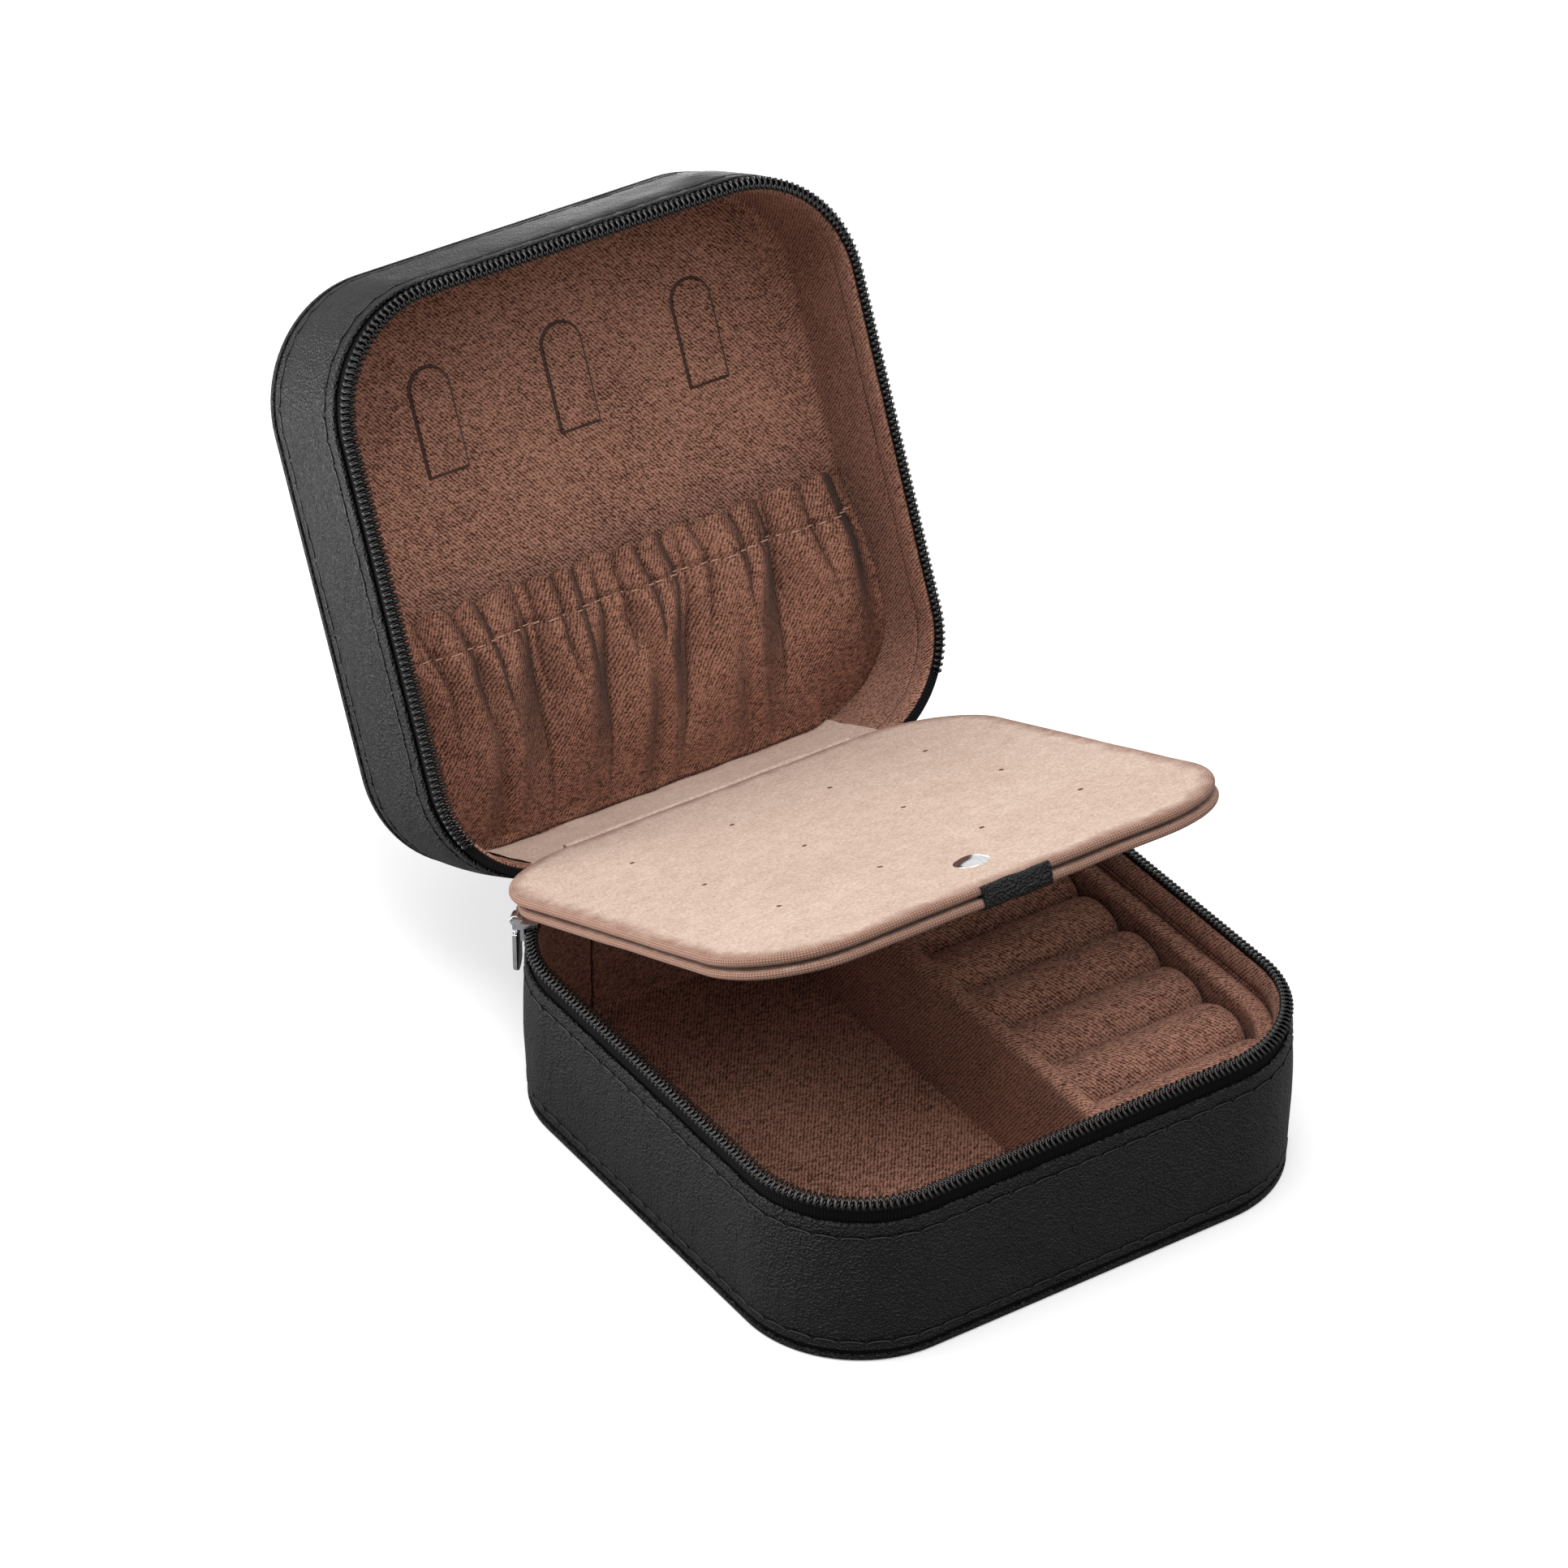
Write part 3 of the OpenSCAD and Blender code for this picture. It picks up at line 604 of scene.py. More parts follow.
def leather_band(name, height, seed, place):
    """The side band: bulging between its two stitch lines, rolled over at the zipper edge."""
    low, high = FLOOR_WELT, height - BAND_BACK
    lower, upper = low + 1.9, high - 2.7
    face = spread((low + 0.4, 0.25), (lower - 0.5, 0.11), (lower + 0.5, 0.55), (upper - 0.5, 0.11),
                  (upper + 0.5, 0.3), (high - 0.5, 1))
    profile = [(0.8, low + 0.1), (0.45, low - 0.02)] + arc(0.4, low + 0.4, 0.4, 250, 190, 4)
    profile += [(0.0, z) for z in face] + arc(0.42, high - 0.42, 0.42, 165, 15, 9)
    profile += [(0.84, high - 0.6), (0.84, high - 1.4)]

    def push(s, z):
        inside = np.clip((z - lower) / (upper - lower), 0, 1)
        swell = 0.34 * (np.sin(math.pi * inside) ** 0.7)
        seams = groove(z, lower, 0.24, 0.26) + groove(z, upper, 0.26, 0.28)
        pucker = 0.05 * np.cos(2 * math.pi * s / STITCH_PITCH) * (bell(z, lower, 0.7) + bell(z, upper, 0.7))
        soft = ripple(s, z, seed, (9, 16, 27), 0.07, 1.6) * np.sin(math.pi * inside)
        edge = ripple(s, z, seed + 1, (13, 21), 0.03)
        on_face = (z > low + 0.35) & (z < high - 0.45)
        return np.where(on_face, swell + seams + pucker + soft + edge, 0)

    grid, u, v = sweep(profile, push=push)
    return grid_piece(name, grid, LEATHER, place, u=u, v=v), (lower, upper)


def off_hinge_side(s, turn):
    """Which places round the outline lie between that angle of one rear corner and of the other."""
    start = CORNER_X + CORNER_R * math.radians(90 - turn)
    return (s[:-1] > start) & (s[:-1] < s[-1] - start)


def run_round(inset, z, turn=None):
    """Points that follow the body's outline, all round or off the hinge side."""
    points, normals, s = BODY_LINE
    places = np.concatenate([points - inset * normals, np.full((len(points), 1), z)], 1)
    return places if turn is None else places[off_hinge_side(s, turn)]


def stitch_lines(name, heights, place):
    """Rows of stitches all round the band, in the grooves of its two seams."""
    small = stitch_thread(STITCH_PITCH * 0.86, STITCH_R)
    rows = [lay_along(f"{name}_{k}", run_round(0.02, z), small, STITCH_PITCH, BLACK_THREAD, place, True, 0.06, 5 + k)
            for k, z in enumerate(heights)]
    return joined(name, rows)


def joined(name, parts):
    """One mesh out of several that are in their place."""
    meshes = [p.data for p in parts]
    points, faces, uvs = [], [], []
    for m in meshes:
        faces += [[i + len(points) for i in p.vertices] for p in m.polygons]
        points += [v.co[:] for v in m.vertices]
        uvs += [c.uv[:] for c in m.uv_layers[0].data] if m.uv_layers else []
    mesh = bpy.data.meshes.new(name)
    mesh.from_pydata(points, [], faces)
    if uvs:
        mesh.uv_layers.new(name="UVMap").data.foreach_set("uv", np.ravel(uvs).astype(np.float32))
    mesh.materials.append([m for m in meshes[0].materials if m][-1])
    mesh.polygons.foreach_set("use_smooth", [True] * len(mesh.polygons))
    for p in parts:
        bpy.data.objects.remove(p)
    return new_piece(name, mesh)


def zipper_tape(name, height, place):
    """Tape that rises out of the band and turns in under the coil."""
    high, bottom = height - BAND_BACK, height - 1.35
    outer = [(1.0, high - 1.4), (0.93, high - 0.4), (0.9, high + 0.6), (0.86, high + 1.6), (0.8, bottom - 0.45)]
    cord = arc(0.62, bottom - 0.1, 0.3, 200, 30, 6)
    under = [(1.2, bottom - 0.02), (1.9, bottom - 0.03), (2.0, bottom - 0.3), (1.55, bottom - 0.5), (1.5, high - 1.2)]
    grid, s, v = sweep(outer + cord + under)
    keep = off_hinge_side(s, TAPE_END)
    u = s[:-1][keep]
    return grid_piece(name, grid[keep], TAPE, place, round_u=False, u=u, v=v)


def zipper_coil(name, height, turn, place):
    """A row of coil turns and, outside it, the row of ticks where the thread holds each one."""
    loops = lay_along(name + "_loops", run_round(1.2, height - 0.78, turn), COIL_TURN, COIL_PITCH, COIL, place)
    ticks = lay_along(name + "_ticks", run_round(0.42, height - 1.32, turn), COIL_TICK, COIL_PITCH, COIL, place)
    return joined(name, [loops, ticks])


def rim_lip(name, height, swell, seed, place):
    """The padded edge of the lining, down to the seam below the rim."""
    top = height - 1.5
    profile = [(1.72, top - 2.4), (1.66, top - 0.8)] + arc(2.1, top - 0.42, 0.42, 180, 20, 8)
    profile += [(2.56 + swell * bow, top - drop) for bow, drop in
                ((0.3, 0.9), (0.72, 1.5), (1.0, 2.3), (0.96, 3.0), (0.7, 3.6), (0.24, 4.1))]
    profile += [(2.3, top - 4.42), (2.1, top - 4.6)]
    grid, u, v = sweep(profile, push=lambda s, z: ripple(s, z, seed, (5, 9, 17), 0.035, 1.5))
    return grid_piece(name, grid, LINING, place, u=u, v=v)


def wall_lining(name, height, fillet, seed, place):
    """The lining below the lip's seam, with an easy curve onto the floor."""
    top = height - 6.0
    profile = [(2.1, top + 0.12), (2.28, top - 0.02), (2.46, top - 0.25)]
    profile += [(WALL, z) for z in spread((top - 0.7, 0.8), (FLOOR + fillet, 1))]
    profile += arc(WALL + fillet, FLOOR + fillet, fillet, 188, 268, 8) + [(WALL + fillet + 1.5, FLOOR - 0.02)]

    def push(s, z):
        seam = groove(s, REAR_LEFT_SEAM, 0.22, 0.2)
        return np.where(z < top - 0.1, ripple(s, z, seed, (11, 19, 33), 0.06, 1.3) + seam, 0)

    grid, u, v = sweep(profile, LINING_LINE, push)
    return grid_piece(name, grid, LINING, place, u=u, v=v)


def wall_seam_shadow(name, height, place):
    """The sewn seam that runs down the rear left of the lining, drawn as a thin dark rod of painted shadow in its
    groove.
    """
    points, normals, s = LINING_LINE
    at = int(np.argmin(np.abs(s[:-1] - REAR_LEFT_SEAM)))
    z = np.linspace(height - 6.4, FLOOR + 0.8, 40)
    wave = 0.08 * np.sin(z * 1.3) + 0.05 * np.sin(z * 3.1)
    turn = full_turn(7)
    grid = np.zeros((len(z), len(turn), 3))
    inward, along = -normals[at], np.array([-normals[at][1], normals[at][0]])
    centre = points[at] + (WALL + 0.02) * inward
    grid[..., :2] = (centre + wave[:, None, None] * along + 0.12 * np.cos(turn)[None, :, None] * inward
                     + 0.2 * np.sin(turn)[None, :, None] * along)
    grid[..., 2] = z[:, None]
    return grid_piece(name, grid, SLIT_SHADOW, place, round_u=False, round_v=True)


def lip_seam_shadow(name, height, place):
    """Painted shadow: a dark rod along the line where the lip is sewn to the wall."""
    grid = sweep([(2.34 + 0.14 * math.cos(a), height - 6.08 + 0.14 * math.sin(a)) for a in full_turn(6)])[0]
    return grid_piece(name, grid, SLIT_SHADOW, place, round_v=True)


def plate(name, half_w, half_d, r, rows, finish, place, centre=(0.0, 0.0), uneven=None, wrapped=False):
    """A flat rounded piece from rows of (inset, height), closed over at both middles.

    A wrapped one has its second UV from 0 on its outermost edge, so a finish can tell how near the edge it is.
    """
    points, normals, s = outline(half_w, half_d, r, 0.8)
    n, m = len(points), len(rows)
    rim = r * 0.85
    rings = []
    for inset, z in rows:
        if inset <= rim:
            xy = points - inset * normals
        else:
            xy = (points - rim * normals) * (1 - (inset - rim) / (half_w - rim))
        rings.append(np.concatenate([xy, np.full((n, 1), z)], 1))
    grid = np.stack(rings, 1)
    if uneven is not None:
        grid[..., 2] += uneven(grid[..., 0], grid[..., 1])
    grid[..., 0] += centre[0]
    grid[..., 1] += centre[1]
    points3, faces = closed_at_poles(grid, grid[:, 0].mean(0), grid[:, -1].mean(0))
    if wrapped:
        v = running(np.asarray(rows, float))
        v = v - v[int(np.argmin([inset for inset, z in rows]))]
        uv = [np.array([(s[a], v[b]), (s[a + 1], v[b]), (s[a + 1], v[b + 1]), (s[a], v[b + 1])])
              for a in range(n) for b in range(m - 1)]
        for k in range(n):
            uv += [np.full((3, 2), (s[k], v[0])), np.full((3, 2), (s[k], v[-1]))]
    else:
        uv = [points3[f][:, :2] for f in faces]
    return make_piece(name, points3, faces, finish, place, uv)


def pad_rows(bottom, top, edge, half, crown=0.0):
    """Rows of a soft plate: under side, rounded edge, top with a slight crown towards the middle."""
    middle = half - 0.5
    rows = [(inset, bottom) for inset in np.linspace(middle, edge, 5)]
    thick = (top - bottom) / 2
    rows += [(edge - edge * math.cos(a), bottom + thick + thick * math.sin(a))
             for a in np.radians(np.linspace(-80, 80, 9))]
    rows += [(inset, top + crown * (1 - (1 - (inset - edge) / (middle - edge)) ** 2.5))
             for inset in np.linspace(edge, middle, 9)]
    return rows


def panel_pad(name, crown, soft, place):
    """The soft pad on the inside of the bottom or the lid panel."""
    half_w = BODY_W / 2 - WALL
    return plate(name, half_w, BODY_D / 2 - WALL, CORNER_R - WALL, pad_rows(PAD_UNDER, FLOOR, 0.7, half_w, crown),
                 LINING, place, uneven=soft)


def shell(side, body, height, coil_end, swell, fillet, seed, place):
    """The skins of the base or the lid, from its leather band in to its wall lining, each put on its body."""
    band, seams = leather_band(f"{side}_side_band", height, 10 + seed, place)
    stitches = stitch_lines(f"{side}_band_stitches", seams, place)
    tape = zipper_tape(f"{side}_tape", height, place)
    coil = zipper_coil(f"{side}_coil", height, coil_end, place)
    lip = rim_lip(f"{side}_lip", height, swell, 20 + seed, place)
    walls = wall_lining(f"{side}_walls", height, fillet, 30 + seed, place)
    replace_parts(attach(band, body), f"{side}_side_leather")
    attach(stitches, body)
    if side == "base":
        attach(wall_seam_shadow("base_wall_seam", height, place), body)
    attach(lip_seam_shadow(f"{side}_lip_seam", height, place), body)
    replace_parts(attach(tape, body), f"{side}_zipper_tape")
    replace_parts(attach(coil, body), f"{side}_zipper_coil")
    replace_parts(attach(lip, body), f"{side}_rim_lip")
    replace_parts(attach(walls, body), f"{side}_wall_lining")


# ---- base ----

shell("base", "case", BASE_H, BASE_COIL_END, 0.6, 0.9, 1, IN_BASE)


def soft_floor(x, y):
    return ripple(x, y, 41, (12, 23, 40), 0.05)


base_floor = panel_pad("base_floor", 0.12, soft_floor, IN_BASE)
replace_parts(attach(base_floor, "case"), "base_floor_pad")


def divider_pad():
    """Upright padded board with a round soft top."""
    x0, x1, top, end = 6.0, 9.0, 25.5, BODY_D / 2 - WALL + 0.1
    y = np.linspace(-end, end, 150)
    half = (x1 - x0) / 2
    middle, shoulder = x0 + half, top - half
    profile = [(x0 + 0.05, FLOOR - 0.3)] + [(x0, z) for z in np.linspace(FLOOR + 0.4, shoulder, 24)]
    profile += [(middle - half * math.cos(a), shoulder + half * math.sin(a))
                for a in np.radians(np.linspace(12, 168, 12))]
    profile += [(x1, z) for z in np.linspace(shoulder, FLOOR + 0.4, 24)] + [(x1 - 0.05, FLOOR - 0.3)]
    profile = np.array(profile)
    grid = np.zeros((len(y), len(profile), 3))
    grid[..., 0] = profile[None, :, 0]
    grid[..., 1] = y[:, None]
    grid[..., 2] = profile[None, :, 1]
    side = np.sign(profile[:, 0] - middle)[None, :]
    lift = np.clip((grid[..., 2] - FLOOR) / (top - FLOOR), 0, 1)
    grid[..., 0] += side * (0.16 * np.sin(math.pi * lift) + ripple(grid[..., 1], grid[..., 2], 51, (9, 17, 29), 0.05))
    grid[..., 2] += ripple(y, 0 * y, 52, (15, 26), 0.1)[:, None] * lift ** 6
    return grid_piece("divider_pad", grid[:, ::-1], LINING, round_u=False, u=y + end)


divider = divider_pad()
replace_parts(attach(divider, "case"), "divider")

# ---- ring cushion ----

ROLL_R, ROLL_PITCH, ROLL_Z = 5.6, 11.6, 17.9
ROLL_X0, ROLL_X1, ROLL_CAP = 9.2, 43.9, 4.4
FIRST_GROOVE = -(BODY_D / 2 - WALL) + 13.2


def ring_roll(k):
    """One foam roll under the lining, its free end rounded off."""
    y0 = FIRST_GROOVE + (k + 0.5) * ROLL_PITCH
    reach = ROLL_X1 + np.random.default_rng(60 + k).uniform(-0.3, 0.2)
    t = np.concatenate([np.linspace(0, 0.85, 46), 1 - 0.15 * (1 - np.linspace(0, 1, 18)[1:]) ** 1.6])
    angle = np.radians(np.linspace(-58, 238, 60))
    grid = np.zeros((len(t), len(angle), 3))
    for row, a in enumerate(t):
        x = ROLL_X0 + (reach - ROLL_X0) * a
        size = max(math.sqrt(max(0.0, 1 - (1 - min(reach - x, ROLL_CAP) / ROLL_CAP) ** 2.1)), 0.02)
        wide = (ROLL_R + 0.17) * np.sign(np.cos(angle)) * np.abs(np.cos(angle)) ** 0.86
        tall = ROLL_R * np.sin(angle)
        swell = 0.09 * math.sin(math.pi * a) + ripple(np.array(x), angle * 5, 70 + k, (7, 12), 0.07)
        grid[row, :, 0] = x
        grid[row, :, 1] = y0 + wide * (0.55 + 0.45 * size)
        top = tall * (0.35 + 0.65 * size) + swell * np.clip(tall / ROLL_R, 0, 1)
        grid[row, :, 2] = ROLL_Z + np.where(tall > 0, top, tall)
    edge_y = BODY_D / 2 - WALL - 0.25
    over = np.clip(np.abs(grid[..., 1]) - CORNER_Y, 0, None)
    limit = CORNER_X + np.sqrt(np.maximum((CORNER_R - WALL - 0.4) ** 2 - over ** 2, 0.3))
    grid[..., 0] = np.minimum(grid[..., 0], np.minimum(limit, reach))
    grid[..., 1] = np.clip(grid[..., 1], -edge_y, edge_y)
    return grid


def ring_cushion():
    parts = []
    for k in range(-1, 7):
        grid = ring_roll(k)
        u = running(grid[:, 30])
        parts.append(grid_piece(f"roll_{k + 2}", grid, LINING, round_u=False, u=u))
    return joined("ring_cushion", parts)


rolls = ring_cushion()
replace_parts(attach(rolls, "case"), "ring_rolls")


def ledge_pad():
    """The padded ridge between the roll ends and the right wall."""
    inner, outer, top = 5.75, WALL + 0.05, 24.4
    profile = [(outer, FLOOR), (outer, 20.0), (outer, top - 0.6)] + arc(outer + 0.55, top - 0.55, 0.55, 170, 95, 5)
    profile += arc(inner - 1.2, top - 1.2, 1.2, 85, 5, 7) + [(inner, z) for z in np.linspace(top - 1.8, 8, 16)]
    grid, s, v = sweep(profile, push=lambda s, z: ripple(s, z, 81, (8, 15, 26), 0.06))
    keep = grid[:, 0, 0] > CORNER_X + 0.4
    grid, u = grid[keep], s[:-1][keep]
    return grid_piece("ledge_pad", grid, LINING, round_u=False, u=u, v=v)


ledge = ledge_pad()
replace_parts(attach(ledge, "case"), "tray_ledge")

# ---- lid ----

shell("lid", "lid", LID_H, LID_COIL_END, 0.2, 2.0, 2, IN_LID)


def soft_back(x, y):
    return ripple(x, y, 42, (14, 25, 44), 0.07)


lid_back = panel_pad("lid_back", 0.1, soft_back, IN_LID)
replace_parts(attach(lid_back, "lid"), "lid_back_pad")


HOOK_ROOT, HOOK_LENGTH, HOOK_HALF = -15.2, 17.8, 3.65
HOOK_MIDDLE, HOOK_PITCH = 2.9, 25.5
HOOK_ARCH = HOOK_ROOT - HOOK_LENGTH + HOOK_HALF


def hook_edge(n, out=0.0):
    """Outline of a tab: straight sides from the root, and an arched end."""
    half, root = HOOK_HALF + out, HOOK_ROOT + out
    edge = [(half, y) for y in np.linspace(root, HOOK_ARCH, 30, endpoint=False)]
    edge += [(half * math.cos(a), HOOK_ARCH - half * math.sin(a)) for a in np.linspace(0, math.pi, 26)]
    edge += [(-half, y) for y in np.linspace(HOOK_ARCH, root, 31)[1:]]
    edge += [(x, root) for x in np.linspace(-half, half, 14)[1:-1]]
    return np.array(edge) + (HOOK_MIDDLE + n * HOOK_PITCH, 0)


def hook_tab(name, n):
    """Arch-topped tab cut in the lining: root towards the hinge, edges slightly rounded."""
    bottom, top = FLOOR + 0.12, FLOOR + 0.62
    edge = hook_edge(n, -0.12)
    centre = np.stack([np.full(len(edge), HOOK_MIDDLE + n * HOOK_PITCH),
                       np.clip(edge[:, 1], HOOK_ARCH, HOOK_ROOT - 3.0)], 1)
    rows = [(0.97, bottom), (0.06, bottom), (0.0, bottom + 0.15), (0.0, top - 0.14), (0.04, top - 0.03), (0.1, top),
            (0.35, top + 0.04), (0.7, top + 0.05), (0.97, top + 0.05)]
    grid = np.stack([np.concatenate([edge + (centre - edge) * t, np.full((len(edge), 1), z)], 1) for t, z in rows], 1)
    grid[..., 2] += ripple(grid[..., 0], grid[..., 1], 85 + n, (5, 9), 0.05)
    count, m = grid.shape[:2]
    flat = grid.reshape(-1, 3)
    faces = [list(q)[::-1] for q in grid_faces(count, m, True, False)[0]]
    faces.append([k * m for k in range(count)])
    faces.append([k * m + m - 1 for k in range(count)][::-1])
    return make_piece(name, flat, faces, LINING, IN_LID, [flat[f][:, :2] for f in faces])


def tab_slit_shadow(name, n):
    """Painted shadow: a dark rod where the cut runs all round a tab."""
    edge = hook_edge(n, 0.12)
    path = np.concatenate([edge, soft_back(edge[:, 0], edge[:, 1])[:, None] + FLOOR + 0.1], 1)
    turn = full_turn(6)
    way = np.roll(path, -1, 0) - np.roll(path, 1, 0)
    side = np.cross(way / np.linalg.norm(way, axis=1, keepdims=True), (0, 0, 1))
    grid = path[:, None] + 0.24 * np.cos(turn)[None, :, None] * side[:, None]
    grid[..., 2] += 0.2 * np.sin(turn)
    return grid_piece(name, grid[::-1], SLIT_SHADOW, IN_LID, round_v=True)


for side, n in (("left", -1), ("middle", 0), ("right", 1)):
    tab = hook_tab(f"hook_tab_{side}", n)
    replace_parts(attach(tab, f"hook_{side}"), f"necklace_hook_{side}")
    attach(tab_slit_shadow(f"tab_slit_{side}", n), "lid")

# ---- gathered pocket ----

POCKET_Y, POCKET_BOTTOM, POCKET_HALF = 5.6, 47.6, 47.4
CASING, CLOTH_T = 6.8, 0.5


def valley_places(seed, reach, near, far):
    """Uneven places of the sharp valleys between gathers."""
    rng = np.random.default_rng(seed)
    places = [-reach]
    while places[-1] < reach:
        places.append(places[-1] + rng.uniform(near, far))
    return np.array(places)


def puffs(x, valleys, sharp):
    """Rounded swells between the valleys, from 0 in a valley to 1 on a ridge."""
    turn = np.interp(x, valleys, np.arange(len(valleys)))
    return np.abs(np.sin(math.pi * turn)) ** sharp


TUCKS = valley_places(91, 54, 1.7, 3.1)
GATHERS = valley_places(92, 56, 4.6, 9.8)
SWAGS = valley_places(95, 60, 12.0, 24.0)
LONG_FOLDS = ((-29.5, 1.5, 1.6), (0.8, 1.7, 1.9), (21.0, 1.0, -1.2))  # place across, depth, lean
LONG_FOLD_W = 2.3


def pocket_height(x, down):
    """Height of the pocket's face over the lid panel at a place below its mouth."""
    under_seam = down - CASING
    below = np.clip(under_seam, 0, None)
    slant = x + (0.16 * np.sin(x / 15 + 1.1) + 0.07) * below
    wavy = slant + 0.5 * np.sin(down / 3.1 + x / 7)
    tuck_in = np.clip((down - 22) / 20, 0, 1)
    base = 7.3 + 3.6 * np.sin(math.pi * np.clip(down / 40, 0, 1)) - 2.6 * tuck_in * tuck_in
    tuck = 0.34 * bell(under_seam, 0, 2.6) * puffs(wavy, TUCKS, 0.9)
    gather = 1.1 * bell(down, 0, 5.5) + 2.0 * bell(under_seam, 3.0, 6.5)
    swag = 5.6 * bell(under_seam, 10.0, 14.0) + 0.5 * bell(down, 0, 5.0)
    relief = tuck + gather * puffs(wavy, GATHERS, 0.9) + swag * (puffs(slant, SWAGS, 1.0) - 0.45)
    fade = np.clip(below / 4, 0, 1) * np.clip((POCKET_BOTTOM - POCKET_Y - down) / 10, 0, 1) ** 0.5
    for at, depth, lean in LONG_FOLDS:
        off = (x - at - lean * np.sin((down - 8) / 11)) / LONG_FOLD_W
        relief = relief + depth * fade * (off * bell(off, 0, 1) * 1.6 - 0.5 * bell(off, 0.3, 1))
    side = np.clip((POCKET_HALF - np.abs(x)) / 5.5, 0, 1)
    seam = groove(down, CASING, 0.75, 0.8)
    return base + eased(side) * (relief + seam) - 1.6 * (1 - side) * bell(down, 0, 14)


def inside_plan(x, y):
    """Keeps across-places inside the lid's rounded rear corners."""
    corner = np.clip(y - CORNER_Y, 0, None)
    limit = CORNER_X + np.sqrt(np.maximum((CORNER_R - WALL - 0.1) ** 2 - corner ** 2, 0.5))
    return np.clip(x, -limit, limit)


def pocket_cloth():
    """Elastic-mouthed pocket: a frilled edge above the casing, folds that spread and fade below it."""
    x = np.linspace(-POCKET_HALF, POCKET_HALF, 380)
    y = np.append(np.linspace(POCKET_Y - 0.2, POCKET_Y + 16, 72), np.linspace(POCKET_Y + 16.5, POCKET_BOTTOM, 50))
    X, Y = np.meshgrid(x, y, indexing="ij")
    down = Y - POCKET_Y
    frill = bell(np.clip(down, 0, None), 0, 2.6)
    scallop = 1.3 * (0.75 - puffs(X, GATHERS, 0.8)) + ripple(X, 0 * X, 91, (5.3, 9.7), 0.22)
    Y2 = Y + frill * np.clip(scallop, -0.9, 1.3)
    Z = pocket_height(X, down) + ripple(X, Y, 92, (6, 11), 0.07)
    front = np.stack([inside_plan(X, Y2), Y2, Z], -1)
    back = front.copy()
    back[..., 2] -= CLOTH_T
    full = np.concatenate([back[:, ::-1], front], 1)
    piece = grid_piece("pocket_cloth", full[::-1], POCKET_TWILL, IN_LID, round_u=False, round_v=True, ends=True)
    # Painted shade for the folds: stronger on faces that slope away from the light and in the valleys; the finish
    # darkens the cloth by it.
    slope = np.gradient(Z, x, axis=0)
    valley = np.clip(-np.gradient(slope, x, axis=0) * -0.9, 0, 1)
    fold = np.clip(0.62 * np.clip(-slope, 0, 1.2) + 0.45 * valley, 0, 0.8)
    fold = np.concatenate([fold[:, ::-1], fold], 1)[::-1]
    piece.data.attributes.new("fold", "FLOAT", "POINT").data.foreach_set("value", fold.ravel().astype(np.float32))
    across, along = front[1:, :-1] - front[:-1, :-1], front[:-1, 1:] - front[:-1, :-1]
    return piece, np.linalg.norm(np.cross(across, along), axis=-1).sum()


def casing_stitches():
    """Light running stitches that hold the elastic in its casing."""
    x = np.linspace(-POCKET_HALF + 1.5, POCKET_HALF - 1.5, 400)
    path = np.stack([x, np.full_like(x, POCKET_Y + CASING), pocket_height(x, np.full_like(x, CASING)) + 0.1], -1)
    return lay_along("pocket_stitches", path, stitch_thread(1.9, 0.13), 2.9, TAN_THREAD, IN_LID, uneven=0.25, seed=8)


pocket, pocket_area = pocket_cloth()
pocket_thread = casing_stitches()
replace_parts(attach(pocket, "lid"), "elastic_pocket", "pocket_elastic")
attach(pocket_thread, "lid")

# ---- hinge side ----


def flap_root():
    """The flap's cloth where it runs down the lid's wall to the foot of the pocket."""
    inset, half = WALL + 0.45, 35
    profile = [(WALL - 0.2, 5.0), (inset, 5.3)] + [(inset, z) for z in np.linspace(6, 22.2, 22)]
    profile += [(inset - 0.1, 22.7), (WALL - 0.2, 22.9)]
    grid = sweep(profile, push=lambda s, z: ripple(s, z, 97, (6, 11, 19), 0.1))[0]
    grid = grid[(grid[:, 0, 1] > CORNER_Y) & (np.abs(grid[:, 0, 0]) < half)]
    grid = grid[np.argsort(grid[:, 0, 0])[::-1]]
    return grid_piece("flap_root", grid, BEIGE_PLAIN, IN_LID, round_u=False, v=running(grid[0]) + 9.0)


flap_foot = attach(flap_root(), "lid")


BEND_LOW, BEND_HIGH = 27.9, 29.7


def spine_sheet(name, inner, outer, z0, z1, finish):
    """A strip up the back, drawn as it lies with the lid open: upright below the hinge line, folded over it above."""
    count, half = 40, 28.4
    z = np.linspace(z0, z1, count)
    turn = eased(np.clip((z - BEND_LOW) / (BEND_HIGH - BEND_LOW), 0, 1))
    x = np.linspace(-half, half, 60)
    grid = np.zeros((len(x), 2 * count, 3))
    for row, (y_at, order) in enumerate(((outer, slice(None)), (inner, slice(None, None, -1)))):
        angle = -np.radians(LID_OPEN) * turn[order]
        dy, dz = y_at - HINGE[1], z[order] - HINGE[2]
        grid[:, row * count:(row + 1) * count, 1] = HINGE[1] + dy * np.cos(angle) - dz * np.sin(angle)
        grid[:, row * count:(row + 1) * count, 2] = HINGE[2] + dy * np.sin(angle) + dz * np.cos(angle)
    grid[..., 0] = x[:, None]
    return grid_piece(name, grid[::-1], finish, round_u=False, round_v=True)


spine = spine_sheet("hinge_spine", 49.75, 50.45, 26.7, 35.3, LEATHER)
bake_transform(spine)
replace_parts(spine, "hinge_spine_base", "hinge_spine_lid")
spine_lining = spine_sheet("hinge_lining", 49.45, 49.7, 27.2, 34.8, LINING)
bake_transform(spine_lining)

# ---- earring flap ----

FLAP_HALF, FLAP_BACK, FLAP_FRONT, FLAP_R = 47.1, 1.1, 93.55, 18.1
HOLE_D = 1.0
HOLES = [(1 + i * 19.1, -FLAP_FRONT + 25.4 + j * 23.1) for i in (-1.5, -0.5, 0.5, 1.5) for j in range(3)]
SNAP_Y = -FLAP_FRONT + 12.2


